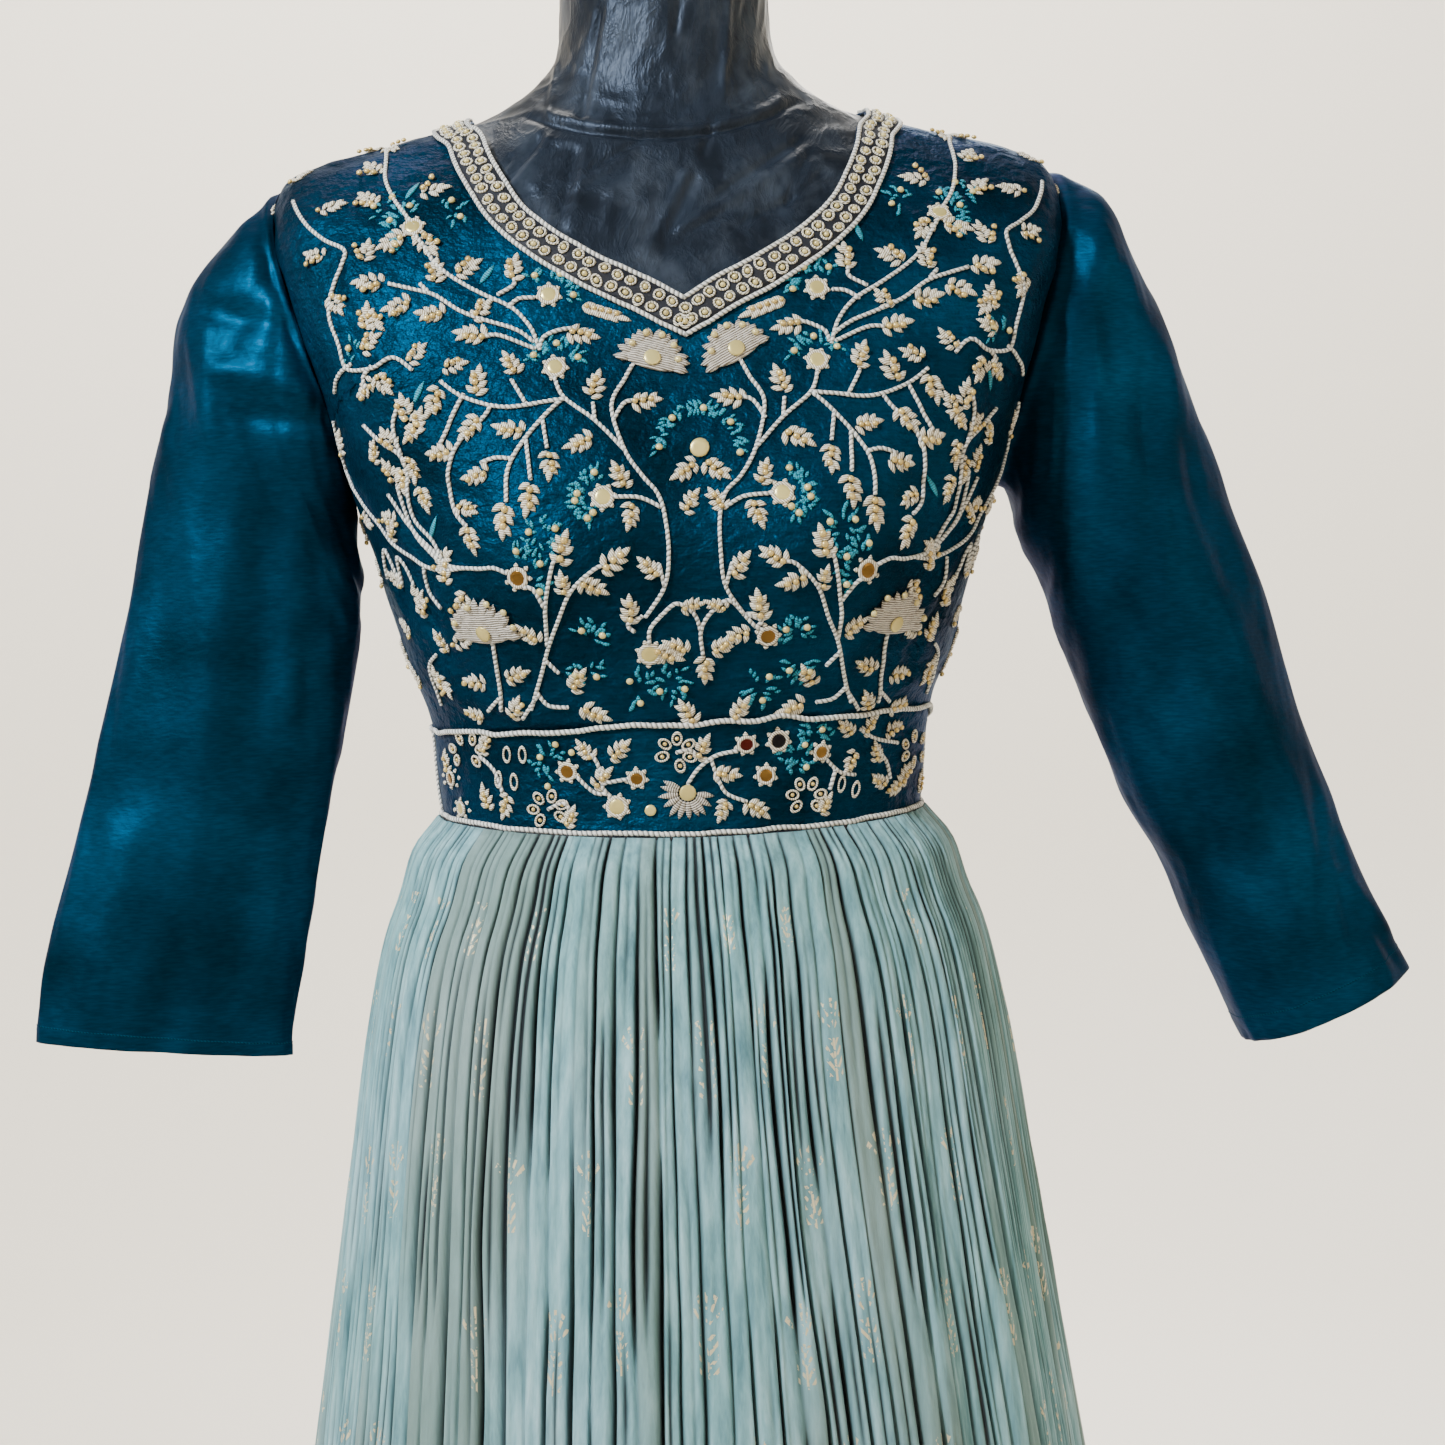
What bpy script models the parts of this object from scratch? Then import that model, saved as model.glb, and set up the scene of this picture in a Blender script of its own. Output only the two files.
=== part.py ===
"""Long gathered gown with an embroidered bodice, on a limbless dress form.

The gown has a front and a back bodice panel, a waistband in two pieces, two three-quarter
sleeves, a bordered V neck and a crinkled skirt gathered into the waistband in two panels.
Metres, +Z up, the front faces -Y and +X is the wearer's left. The origin is on the floor,
on the axis of the stand. Tables are in millimetres.
"""

import math

import bmesh
import bpy
import numpy as np

MM = 0.001
CLOTH_WALL = 1.5
SEAM = 0.3
EASE = 0.9
CLOTH_OUT = EASE + CLOTH_WALL
TRIM_LIFT = 0.5

WAIST_SEAM_Z = 1112.0
BAND_FOOT_Z = 1068.0
BAND_DIP = 7.0
HEM_Z = 50.0

BORDER_FROM = 2.4
BORDER_TO = 16.2
BORDER_THICK = 1.0
NECK_CORD_RADIUS = 0.9
NECK_CORD_INNER_AT = 1.2
NECK_CORD_OUTER_AT = 17.6
WAIST_CORD_RADIUS = 1.1

GATHERS_PER_PANEL = 54
SKIRT_WALL = 1.9
SKIRT_SEAM = 0.5
SLEEVE_POINTS = 24
ARMHOLE_INSET = 0.035
CAP_SLOPE = 65.0

POLE_RADIUS = 12.5
BASE_RADIUS = 180.0
BASE_THICK = 12.0
BASE_BEVEL = 3.0
FLANGE_RADIUS = 45.0
FLANGE_THICK = 6.0
TORSO_BOTTOM_Z = 800.0
NECK_TOP_Z = 1512.0

# Rings of the figure from the neck down. Each is a rounded oval given by its point at the
# side, at centre front and at centre back; square is how full its corners are, 2 an ellipse.
FIGURE_COLUMNS = ("side_x", "side_z", "front_y", "front_z", "back_y", "back_z", "square")
FIGURE = {
    "neck_top": (51, 1508, 50, 1503, 54, 1512, 2.1),
    "neck": (51.5, 1462, 51, 1450, 57, 1470, 2.1),
    "neck_foot": (54, 1440, 53, 1418, 61, 1448, 2.1),
    "neck_base": (63, 1428, 57, 1400, 68, 1434, 2.15),
    "collar": (80, 1415, 62, 1388, 77, 1418, 2.2),
    "high_shoulder": (101, 1406, 68, 1372, 85, 1401, 2.3),
    "mid_shoulder": (135, 1397, 79, 1347, 93, 1375, 2.4),
    "low_shoulder": (170, 1388, 90, 1322, 99, 1345, 2.5),
    "shoulder_point": (187, 1378, 97, 1302, 102, 1322, 2.6),
    "upper_chest": (190, 1355, 103, 1283, 103.5, 1300, 2.8),
    "chest": (181, 1318, 111, 1257, 103, 1272, 2.8),
    "over_bust": (167, 1270, 118.5, 1230, 100, 1243, 2.7),
    "armpit": (155, 1226, 123, 1206, 96.5, 1214, 2.5),
    "bust": (144.5, 1191, 122.5, 1182, 92, 1188, 2.4),
    "under_bust": (133.5, 1150, 111, 1150, 87, 1150, 2.3),
    "ribs": (122, 1118, 97, 1118, 81.5, 1118, 2.25),
    "over_waist": (118, 1085, 88, 1085, 77, 1085, 2.2),
    "waist": (117, 1055, 85.5, 1055, 76, 1055, 2.2),
    "high_hip": (127, 1005, 90, 1005, 86, 1005, 2.2),
    "mid_hip": (142, 955, 98, 955, 101, 955, 2.2),
    "hip": (153, 900, 104, 900, 110, 900, 2.2),
    "low_hip": (156, 850, 104, 850, 111, 850, 2.2),
    "seat": (150, TORSO_BOTTOM_Z, 100, TORSO_BOTTOM_Z, 106, TORSO_BOTTOM_Z, 2.2),
}
RING_TILT = 1.75
# Rows at which the form has a ring: closer together where its outline is hollow.
TORSO_ROWS = (0, 1.2, 2, 2.6, 3.2, 3.8, 4.4, 5, 5.7, 6.5, 7.3, 8, 8.6, 9.3, 10.2, 11, 12, 13)
TORSO_ROWS += (14, 14.7, 15.3, 15.8, 16.3, 16.8, 17.3, 18, 19, 20, 21, 22)
TORSO_POINTS = 24
SHOULDER_ROW = 8.0
ARMPIT_ROW = 12.0
HIGH_SHOULDER_ROW = 4.72
BACK_NECK_ROW = 5.7
ARMHOLE_SCOOP = math.radians(22.5)

# Bust shaping of the bodice: how far it comes forward, and its centre and spread. The form
# under it comes forward a little less.
CUP = {"forward": 9.0, "x": 72.0, "z": 1195.0, "wide": 42.0, "tall": 48.0}
FORM_CUP_FORWARD = 7.5

# Front neckline as it is seen from the front, from the point of the V up to the shoulder.
NECKLINE_COLUMNS = ("x", "z")
NECKLINE = (
    (0.0, 1307.0),
    (16.0, 1316.5),
    (41.5, 1330.0),
    (58.0, 1341.0),
    (70.0, 1352.6),
    (78.4, 1366.7),
    (85.0, 1381.0),
    (89.0, 1394.0),
)

# Levels of the skirt under the waistband: half width, depths, fullness of the corners,
# half height of the gathers and half height of the deep folds.
SKIRT_COLUMNS = ("z", "side_x", "front_y", "back_y", "square", "gather", "fold")
SKIRT = (
    (1067.5, 120.6, 89.4, 79.8, 2.2, 0.5, 0.0),
    (1053, 132.0, 98.0, 90.0, 2.2, 1.6, 0.4),
    (1032, 139.0, 104.0, 99.0, 2.15, 2.0, 1.0),
    (980, 154.5, 116.5, 119.0, 2.1, 2.2, 1.6),
    (800, 183.0, 149.0, 152.0, 2.0, 3.0, 4.0),
    (HEM_Z, 297.0, 268.0, 273.0, 2.0, 5.0, 11.0),
)
# Deep folds of the skirt: how many go round, how strong each set is and where it starts.
SKIRT_FOLD_COLUMNS = ("count", "share", "start")
SKIRT_FOLDS = ((7, 0.45, 0.6), (11, 0.35, 2.1), (17, 0.2, 4.0))

# Sections of each sleeve after the armhole: the two edges seen from the front, half depth
# and the depth of the section's centre. Wearer's left, then wearer's right.
SLEEVE_COLUMNS = ("outer_x", "outer_z", "inner_x", "inner_z", "half_depth", "centre_y")
SLEEVE_LEFT = (
    (216, 1370, 167, 1222, 50, -4),
    (232, 1337, 173, 1203, 51, -4),
    (246, 1305, 181, 1182, 50, -5),
    (260.5, 1266, 188.5, 1162, 48, -5),
    (274.5, 1229, 196, 1140, 46, -6),
    (293.5, 1174, 209, 1106, 43, -7),
    (310.5, 1118, 226, 1067, 41, -8),
    (328.5, 1064, 245, 1031, 39, -9),
    (345.5, 1021, 260, 989, 37, -11),
    (366, 979, 283, 942, 35, -12),
)
SLEEVE_RIGHT = (
    (210, 1356, 158, 1221, 46, -4),
    (236, 1323, 156.5, 1203, 42, -4),
    (244.5, 1285, 155.5, 1187, 37, -5),
    (251, 1255, 156, 1171, 33, -5),
    (259, 1216, 158.5, 1150, 30, -6),
    (274.5, 1149, 166, 1111, 27, -7),
    (287, 1095, 174.5, 1073, 24, -8),
    (306, 1031, 186, 1015, 20, -10),
    (314, 995, 192, 978, 17, -12),
    (317.5, 964, 197, 953, 15, -12),
)
# Long folds of each sleeve: section they are deepest at and how many sections they reach,
# direction round the sleeve (0 top, 90 front), spread in degrees and height.
SLEEVE_FOLD_COLUMNS = ("section", "reach", "around", "spread", "height")
SLEEVE_FOLDS_LEFT = (
    (2.0, 1.6, 62, 20, -3.5),
    (2.6, 2.2, 105, 18, 3.0),
    (5.5, 2.0, 75, 20, -3.5),
    (7.5, 2.0, 118, 20, 3.0),
    (5.0, 2.5, 285, 24, -3.5),
)
SLEEVE_FOLDS_RIGHT = (
    (2.6, 1.0, 50, 24, -5.0),
    (1.8, 1.0, 108, 24, -4.5),
    (4.5, 2.4, 62, 22, 2.5),
    (7.0, 2.6, 118, 24, -2.0),
    (5.0, 2.5, 265, 26, 3.0),
)


def table(rows):
    """A table as an array, whether its rows are named or not."""
    return np.array(list(rows.values()) if isinstance(rows, dict) else rows, float)


def along_rows(rows, at):
    """Every column of a table at fractional rows, on a smooth curve through its rows."""
    last = len(rows) - 1
    at = np.clip(at, 0, last)
    low = np.minimum(at.astype(int), last - 1)
    part = (at - low)[..., None]
    before, here = rows[np.maximum(low - 1, 0)], rows[low]
    there, beyond = rows[low + 1], rows[np.minimum(low + 2, last)]
    turn = 2 * before - 5 * here + 4 * there - beyond
    twist = 3 * here - before - 3 * there + beyond
    value = 2 * here + (there - before) * part + turn * part**2 + twist * part**3
    return np.moveaxis(value / 2, -1, 0)


def oval(turn, side, front, back, square):
    """A rounded oval: x, y and how far its point is towards front or back, 0 at the side.

    The turn is 0 at centre front and a quarter turn at the wearer's left side."""
    across, ahead = np.sin(turn), np.cos(turn)
    size = (np.abs(across) ** square + np.abs(ahead) ** square) ** (-1 / square)
    depth = np.where(ahead > 0, front, back)
    return side * size * across, -depth * size * ahead, np.abs(size * ahead)


def figure_point(turn, row, forward=CUP["forward"]):
    """A point of the figure, in mm: its ring's oval, tilted, with the bust shaped on it."""
    turn, row = np.broadcast_arrays(np.asarray(turn, float), np.asarray(row, float))
    side_x, side_z, front_y, front_z, back_y, back_z, square = along_rows(table(FIGURE), row)
    x, y, ahead = oval(turn, side_x, front_y, back_y, square)
    end_z = np.where(np.cos(turn) > 0, front_z, back_z)
    z = side_z + (end_z - side_z) * ahead**RING_TILT
    spread = ((np.abs(x) - CUP["x"]) / CUP["wide"]) ** 2 + ((z - CUP["z"]) / CUP["tall"]) ** 2
    y = y - forward * np.exp(-spread) * np.clip(np.cos(turn), 0, 1) ** 0.5
    return np.stack([x, y, z], -1)


def cloth_point(turn, row, out):
    """The point that lies the given distance outside the figure, along its normal."""
    step_turn, step_row = 0.02, 0.05
    around = figure_point(turn + step_turn, row) - figure_point(turn - step_turn, row)
    down = figure_point(turn, row + step_row) - figure_point(turn, row - step_row)
    normal = np.cross(down, around)
    normal /= np.linalg.norm(normal, axis=-1, keepdims=True)
    return figure_point(turn, row) + normal * out


def place_seen_from_front(x, z):
    """The turn and row of the front point that is seen at x and z, by halving."""
    low, high = np.full(np.shape(x), HIGH_SHOULDER_ROW - 1), np.full(np.shape(x), 16.0)
    for _ in range(40):
        row = (low + high) / 2
        side_x, side_z, _, front_z, _, _, square = along_rows(table(FIGURE), row)
        across = np.clip(x / side_x, 0, 1)
        ahead = (1 - across**square) ** (1 / square)
        above = (side_z + (front_z - side_z) * ahead**RING_TILT > z) | (x > side_x)
        low, high = np.where(above, row, low), np.where(above, high, row)
    return np.arctan2(across, ahead), row


def row_at_height(z):
    """The row of the figure at a height below the armpit, where its rings are level."""
    rows = np.linspace(ARMPIT_ROW + 1, len(FIGURE) - 1, 900)
    levels = along_rows(table(FIGURE), rows)[1]
    return np.interp(-np.asarray(z, float), -levels, rows)


def even_curve(points, count):
    """Count points at equal distances along a curve of turn and row, on the cloth."""
    at = np.linspace(0, len(points) - 1, 40 * len(points))
    turn, row = along_rows(np.asarray(points, float), at)
    steps = np.linalg.norm(np.diff(cloth_point(turn, row, CLOTH_OUT), axis=0), axis=1)
    length = np.concatenate([[0], np.cumsum(steps)])
    wanted = np.linspace(0, length[-1], count)
    return np.stack([np.interp(wanted, length, turn), np.interp(wanted, length, row)], -1)


def front_neckline(count):
    """Turns and rows of the front neckline, from the point of the V to the shoulder."""
    seen = table(NECKLINE)
    turn, row = place_seen_from_front(seen[:, 0], seen[:, 1])
    points = list(zip(turn, row))
    last_turn, last_row = points[-1]
    for part in (0.35, 0.7, 1.0):
        points.append(
            (
                last_turn + (math.pi / 2 - last_turn) * part,
                last_row + (HIGH_SHOULDER_ROW - last_row) * part**1.4,
            )
        )
    return even_curve(points, count)


def back_neckline(count):
    """Turns and rows of the back neckline, from centre back to the shoulder."""
    turn = np.linspace(math.pi, math.pi / 2, 12)
    rise = np.abs(np.cos(turn)) ** 0.8
    row = HIGH_SHOULDER_ROW + (BACK_NECK_ROW - HIGH_SHOULDER_ROW) * rise
    return even_curve(np.stack([turn, row], -1), count)


def armhole(count, towards, inset=0.0):
    """Turns and rows of half an armhole, from the armpit to the shoulder point.

    Towards is -1 for the front edge and +1 for the back; inset is in rows."""
    part = np.linspace(0, 1, count)
    row = ARMPIT_ROW - inset + (SHOULDER_ROW - ARMPIT_ROW + 2 * inset) * part
    scoop = (ARMHOLE_SCOOP - inset * 0.3) * np.sin(math.pi * part) ** 0.6
    return np.stack([math.pi / 2 + towards * scoop, row], -1)


def wall(name, outer, inner, material, mirrored=False, round_about=False):
    """A closed wall between two grids of points in mm, as an object.

    Each pair of faces is cut along the same diagonal. A mirrored wall is half a piece, open
    where both rims lie on the middle plane; round_about joins the last column to the first."""
    rows, columns = outer.shape[:2]
    points = np.concatenate([outer.reshape(-1, 3), inner.reshape(-1, 3)]) * MM
    index = np.arange(rows * columns).reshape(rows, columns)
    if round_about:
        index = np.concatenate([index, index[:, :1]], axis=1)
    corners = index[:-1, :-1], index[:-1, 1:], index[1:, 1:], index[1:, :-1]
    a, b, c, d = (corner.ravel() for corner in corners)
    skin = np.concatenate([np.stack([a, b, c], -1), np.stack([a, c, d], -1)])
    loops = [index[0], index[-1, ::-1]]
    if not round_about:
        loops += [index[::-1, 0], index[:, -1]]
    rims = []
    for loop in loops:
        start, end = loop[:-1], loop[1:]
        middle = (np.abs(points[start, 0]) < 1e-6) & (np.abs(points[end, 0]) < 1e-6)
        if mirrored:
            start, end = start[~middle], end[~middle]
        deep_start, deep_end = start + rows * columns, end + rows * columns
        rims.append(np.stack([end, start, deep_start], -1))
        rims.append(np.stack([end, deep_start, deep_end], -1))
    faces = np.concatenate([skin, skin[:, ::-1] + rows * columns, *rims])
    return solid(name, points, faces, material, mirrored)


def solid(name, points, faces, material, mirrored=False):
    """A mesh object from points in metres and faces, turned so that it faces outwards."""
    mesh = bpy.data.meshes.new(name)
    mesh.from_pydata(points.tolist(), [], [list(face) for face in faces.tolist()])
    shape = bmesh.new()
    shape.from_mesh(mesh)
    if shape.calc_volume(signed=True) < 0:
        bmesh.ops.reverse_faces(shape, faces=shape.faces)
    shape.to_mesh(mesh)
    shape.free()
    mesh.shade_smooth()
    mesh.set_sharp_from_angle(angle=math.radians(50))
    piece = bpy.data.objects.new(name, mesh)
    if mirrored:
        mirror = piece.modifiers.new("other_half", "MIRROR")
        mirror.merge_threshold = 0.00005
        mirror.use_clip = True
    return add(piece, material)


def add(piece, material):
    """Puts a piece in the gown's collection with its material."""
    piece.data.materials.append(material)
    GOWN.objects.link(piece)
    return piece


def cord(name, points, radius, material, closed=False):
    """A round cord along points in mm, as a curve with filled ends."""
    curve = bpy.data.curves.new(name, "CURVE")
    curve.dimensions = "3D"
    curve.bevel_depth = radius * MM
    curve.bevel_resolution = 1
    curve.use_fill_caps = not closed
    spline = curve.splines.new("POLY")
    spline.points.add(len(points) - 1)
    for knot, (x, y, z) in zip(spline.points, points * MM):
        knot.co = (x, y, z, 1)
    spline.use_cyclic_u = closed
    return add(bpy.data.objects.new(name, curve), material)


def turned(name, profile, material, steps=48):
    """A turned solid from a profile of radius and height in mm, outer side top to bottom."""
    mesh = bpy.data.meshes.new(name)
    points = [(radius * MM, 0, height * MM) for radius, height in profile]
    mesh.from_pydata(points, [(k, k + 1) for k in range(len(points) - 1)], [])
    piece = bpy.data.objects.new(name, mesh)
    screw = piece.modifiers.new("turn", "SCREW")
    screw.steps = steps
    screw.render_steps = steps
    screw.use_merge_vertices = True
    screw.merge_threshold = 0.0001
    return add(piece, material)


def finish(name, colour, roughness, metallic=0.0):
    """A plain material from an sRGB hex colour."""
    material = bpy.data.materials.new(name)
    material.use_nodes = True
    shader = material.node_tree.nodes["Principled BSDF"]
    parts = [int(colour[k : k + 2], 16) / 255 for k in (0, 2, 4)]
    linear = [p / 12.92 if p <= 0.04045 else ((p + 0.055) / 1.055) ** 2.4 for p in parts]
    shader.inputs["Base Color"].default_value = (*linear, 1)
    shader.inputs["Roughness"].default_value = roughness
    shader.inputs["Metallic"].default_value = metallic
    return material


def keep_seam_open(points, turn, towards):
    """Holds the points at the side and shoulder seams half a seam's gap from the middle."""
    at_seam = np.abs(turn - math.pi / 2) < 1e-9
    points[..., 1] = np.where(at_seam, towards * SEAM / 2, points[..., 1])
    return points


def bodice_panel(name, centre, neckline, armhole_edge, towards, rows, columns, material):
    """Half a bodice panel and its mirror, between the centre line and neckline on one side
    and the side seam and armhole on the other. Rows are the rows of the panel's grid up to
    the armpit, up to the neckline's lowest point, and in all."""
    to_armpit, to_neck, in_all = rows
    foot = float(row_at_height(WAIST_SEAM_Z + SEAM / 2))
    middle = np.stack(
        [np.full(to_neck, centre), np.linspace(foot, neckline[0, 1], to_neck + 1)[:-1]], -1
    )
    left = np.concatenate([middle, neckline])
    side_rows = np.linspace(foot, ARMPIT_ROW, to_armpit + 1)[:-1]
    side = np.stack([np.full(to_armpit, math.pi / 2), side_rows], -1)
    right = np.concatenate([side, armhole_edge])
    assert len(left) == len(right) == in_all + 1
    across = np.linspace(0, 1, columns + 1)[None, :, None]
    places = left[:, None, :] * (1 - across) + right[:, None, :] * across
    turn, row = places[..., 0], places[..., 1]
    outer = keep_seam_open(cloth_point(turn, row, CLOTH_OUT), turn, towards)
    inner = keep_seam_open(cloth_point(turn, row, EASE), turn, towards)
    for points in (outer, inner):
        points[..., 0] = np.where(np.abs(np.sin(turn)) < 1e-9, 0, points[..., 0])
    return wall(name, outer, inner, material, mirrored=True)


def bodice(material):
    bodice_panel(
        "bodice_front", 0.0, front_neckline(11), armhole(15, -1), -1, (10, 14, 24), 11, material
    )
    bodice_panel(
        "bodice_back", math.pi, back_neckline(9), armhole(15, 1), 1, (6, 12, 20), 9, material
    )


def band_foot(turn):
    """Height of the waistband's lower edge, which dips at centre front."""
    return BAND_FOOT_Z - BAND_DIP * np.clip(np.cos(turn), 0, 1) ** 2


def waistband(material):
    for name, centre, towards in (("waistband_front", 0, -1), ("waistband_back", math.pi, 1)):
        turn = np.linspace(centre, math.pi / 2, 13)[None, :]
        part = np.linspace(0, 1, 4)[:, None]
        foot, top = row_at_height(band_foot(turn)), row_at_height(WAIST_SEAM_Z - SEAM / 2)
        row = foot + (top - foot) * part
        turn = np.broadcast_to(turn, row.shape)
        outer = keep_seam_open(cloth_point(turn, row, CLOTH_OUT), turn, towards)
        inner = keep_seam_open(cloth_point(turn, row, EASE), turn, towards)
        for points in (outer, inner):
            points[..., 0] = np.where(np.abs(np.sin(turn)) < 1e-9, 0, points[..., 0])
        wall(name, outer, inner, material, mirrored=True)


def beside_neckline(distance, count, out):
    """Points on the front at a distance from the neckline, measured square to it."""
    edge = front_neckline(count)
    turn, row = edge[:, 0], edge[:, 1]
    points = cloth_point(turn, row, CLOTH_OUT)
    along = np.gradient(points, axis=0)
    normal = cloth_point(turn, row, CLOTH_OUT + 1) - points
    away = np.cross(along, normal)
    away /= np.linalg.norm(away, axis=1, keepdims=True)
    slope = abs(along[0, 0]) / np.linalg.norm(along[0])
    away[0] = (0, 0, -1 / slope)
    away[-1] = (1, 0, 0)
    wanted = points + away * distance
    for _ in range(12):
        here = cloth_point(turn, row, CLOTH_OUT)
        by_turn = (cloth_point(turn + 0.01, row, CLOTH_OUT) - here) / 0.01
        by_row = (cloth_point(turn, row + 0.01, CLOTH_OUT) - here) / 0.01
        missing = wanted - here
        a = np.einsum("ij,ij->i", by_turn, by_turn)
        b = np.einsum("ij,ij->i", by_turn, by_row)
        c = np.einsum("ij,ij->i", by_row, by_row)
        p = np.einsum("ij,ij->i", by_turn, missing)
        q = np.einsum("ij,ij->i", by_row, missing)
        turn = turn + (c * p - b * q) / (a * c - b * b)
        row = row + (a * q - b * p) / (a * c - b * b)
        turn[0], turn[-1] = 0.0, math.pi / 2
    result = keep_seam_open(cloth_point(turn, row, CLOTH_OUT + out), turn, -1)
    result[0, 0] = 0
    return result


def neck_trim(border, braid):
    across = (BORDER_FROM, (BORDER_FROM + BORDER_TO) / 2, BORDER_TO)
    top = [beside_neckline(at, 23, TRIM_LIFT + BORDER_THICK) for at in across]
    foot = [beside_neckline(at, 23, TRIM_LIFT) for at in across]
    wall("neck_border", np.array(top), np.array(foot), border, mirrored=True)
    height = TRIM_LIFT + NECK_CORD_RADIUS
    cords = (("neck_cord_inner", NECK_CORD_INNER_AT), ("neck_cord_outer", NECK_CORD_OUTER_AT))
    for name, at in cords:
        half = beside_neckline(at, 19, height)
        other = half[:0:-1] * (-1, 1, 1)
        cord(name, np.concatenate([other, half]), NECK_CORD_RADIUS, braid)


def waist_cords(braid):
    turn = np.linspace(0, 2 * math.pi, 42, endpoint=False)
    out = CLOTH_OUT + TRIM_LIFT + WAIST_CORD_RADIUS
    upper = cloth_point(turn, row_at_height(WAIST_SEAM_Z), out)
    cord("waist_cord_upper", upper, WAIST_CORD_RADIUS, braid, closed=True)
    lift = WAIST_CORD_RADIUS + SEAM
    lower = cloth_point(turn, row_at_height(band_foot(turn) + lift), out)
    cord("waist_cord_lower", lower, WAIST_CORD_RADIUS, braid, closed=True)


def uneven(number, salt):
    """A number from -1 to 1 that looks irregular from one gather to the next."""
    return np.sin(12.9898 * number + 78.233 * salt + 4.1 * np.sin(3.7 * number))


def skirt_wall_points(knot, towards, inwards):
    """Points of a skirt panel: the oval of each level, with deep folds and gathers.

    The knots are the ridges and valleys of the gathers, counted round the whole skirt."""
    level = np.arange(len(SKIRT), dtype=float)[:, None]
    knot = np.asarray(knot, float)[None, :]
    z, side_x, front_y, back_y, square, gather, fold = along_rows(table(SKIRT), level)
    knot_turn = math.pi / 2 / GATHERS_PER_PANEL
    wander = 0.25 * uneven(knot, 3) * np.clip(level - 1, 0, 3) / 3
    at_seam = np.abs(np.cos(knot * knot_turn)) < 1e-9
    turn = (knot + np.where(at_seam, 0, wander)) * knot_turn
    side = (-1.0) ** knot
    height = gather * side * (1 + 0.35 * uneven(knot, 1) + 0.2 * uneven(knot + level, 2))
    for count, share, start in SKIRT_FOLDS:
        height = height + fold * share * np.cos(count * turn + start)
    x, y, _ = oval(turn, side_x, front_y, back_y, square)
    depth = np.where(np.cos(turn) > 0, front_y, back_y)
    normal_x, normal_y = np.sin(turn) / side_x, -np.cos(turn) / depth
    out = (height - inwards) / np.hypot(normal_x, normal_y)
    x = x + normal_x * out
    y = y + normal_y * out + towards * SEAM / 2
    level_z = np.where(level == 0, band_foot(turn) - SKIRT_SEAM, z)
    return np.stack([x, y, np.broadcast_to(level_z, x.shape)], -1)


def skirt(material):
    half = GATHERS_PER_PANEL
    for name, start, towards in (("skirt_front", -half, -1), ("skirt_back", half, 1)):
        knot = np.arange(start, start + 2 * half + 1)
        outer = skirt_wall_points(knot, towards, 0.0)
        inner = skirt_wall_points(knot, towards, SKIRT_WALL)
        wall(name, outer, inner, material)


def sleeve_sections(sections, folds, hand, inwards):
    """Rings of a sleeve after the armhole, in mm: flattened ovals with the folds on them."""
    around = np.linspace(0, 2 * math.pi, SLEEVE_POINTS, endpoint=False)[None, :]
    outer_x, outer_z, inner_x, inner_z, depth, centre_y = (
        column[:, None] for column in table(sections).T
    )
    half_x, half_z = (outer_x - inner_x) / 2, (outer_z - inner_z) / 2
    length = np.hypot(half_x, half_z)
    raised = np.zeros((len(sections), SLEEVE_POINTS))
    section = np.arange(len(sections), dtype=float)[:, None] + 1
    for at, reach, angle, spread, height in folds:
        apart = (np.degrees(around) - angle + 180) % 360 - 180
        raised += height * np.exp(-((apart / spread) ** 2) - ((section - at) / reach) ** 2)
    long_way = (length + raised - inwards) / length
    deep_way = depth + raised - inwards
    x = (outer_x + inner_x) / 2 + half_x * long_way * np.cos(around)
    z = (outer_z + inner_z) / 2 + half_z * long_way * np.cos(around)
    y = centre_y - deep_way * np.sin(around)
    return np.stack([hand * x, y, z], -1)


def sleeve(name, sections, folds, hand, material):
    """A sleeve: its first ring lies in the armhole, just clear of the bodice's edge."""
    half = SLEEVE_POINTS // 2
    front = armhole(half + 1, -1, ARMHOLE_INSET)[::-1]
    back = armhole(half + 1, 1, ARMHOLE_INSET)[1:-1]
    places = np.concatenate([front, back])
    ring = cloth_point(places[:, 0], places[:, 1], CLOTH_OUT)
    out = ring - cloth_point(places[:, 0], places[:, 1], EASE)
    around = np.linspace(0, 2 * math.pi, SLEEVE_POINTS, endpoint=False)
    across = np.cos(around)
    slope = math.radians(CAP_SLOPE)
    sideways = [across * math.cos(slope), -np.sin(around), across * math.sin(slope)]
    sideways = np.stack(sideways, -1)
    towards = out / np.linalg.norm(out, axis=1, keepdims=True) + sideways
    towards /= np.linalg.norm(towards, axis=1, keepdims=True)
    ring_inner = ring - towards * CLOTH_WALL
    for points in (ring, ring_inner):
        points[:, 0] *= hand
    outer = sleeve_sections(sections, folds, hand, 0.0)
    inner = sleeve_sections(sections, folds, hand, CLOTH_WALL)
    outer = np.concatenate([ring[None], outer])
    inner = np.concatenate([ring_inner[None], inner])
    wall(name, outer, inner, material, round_about=True)


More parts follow.
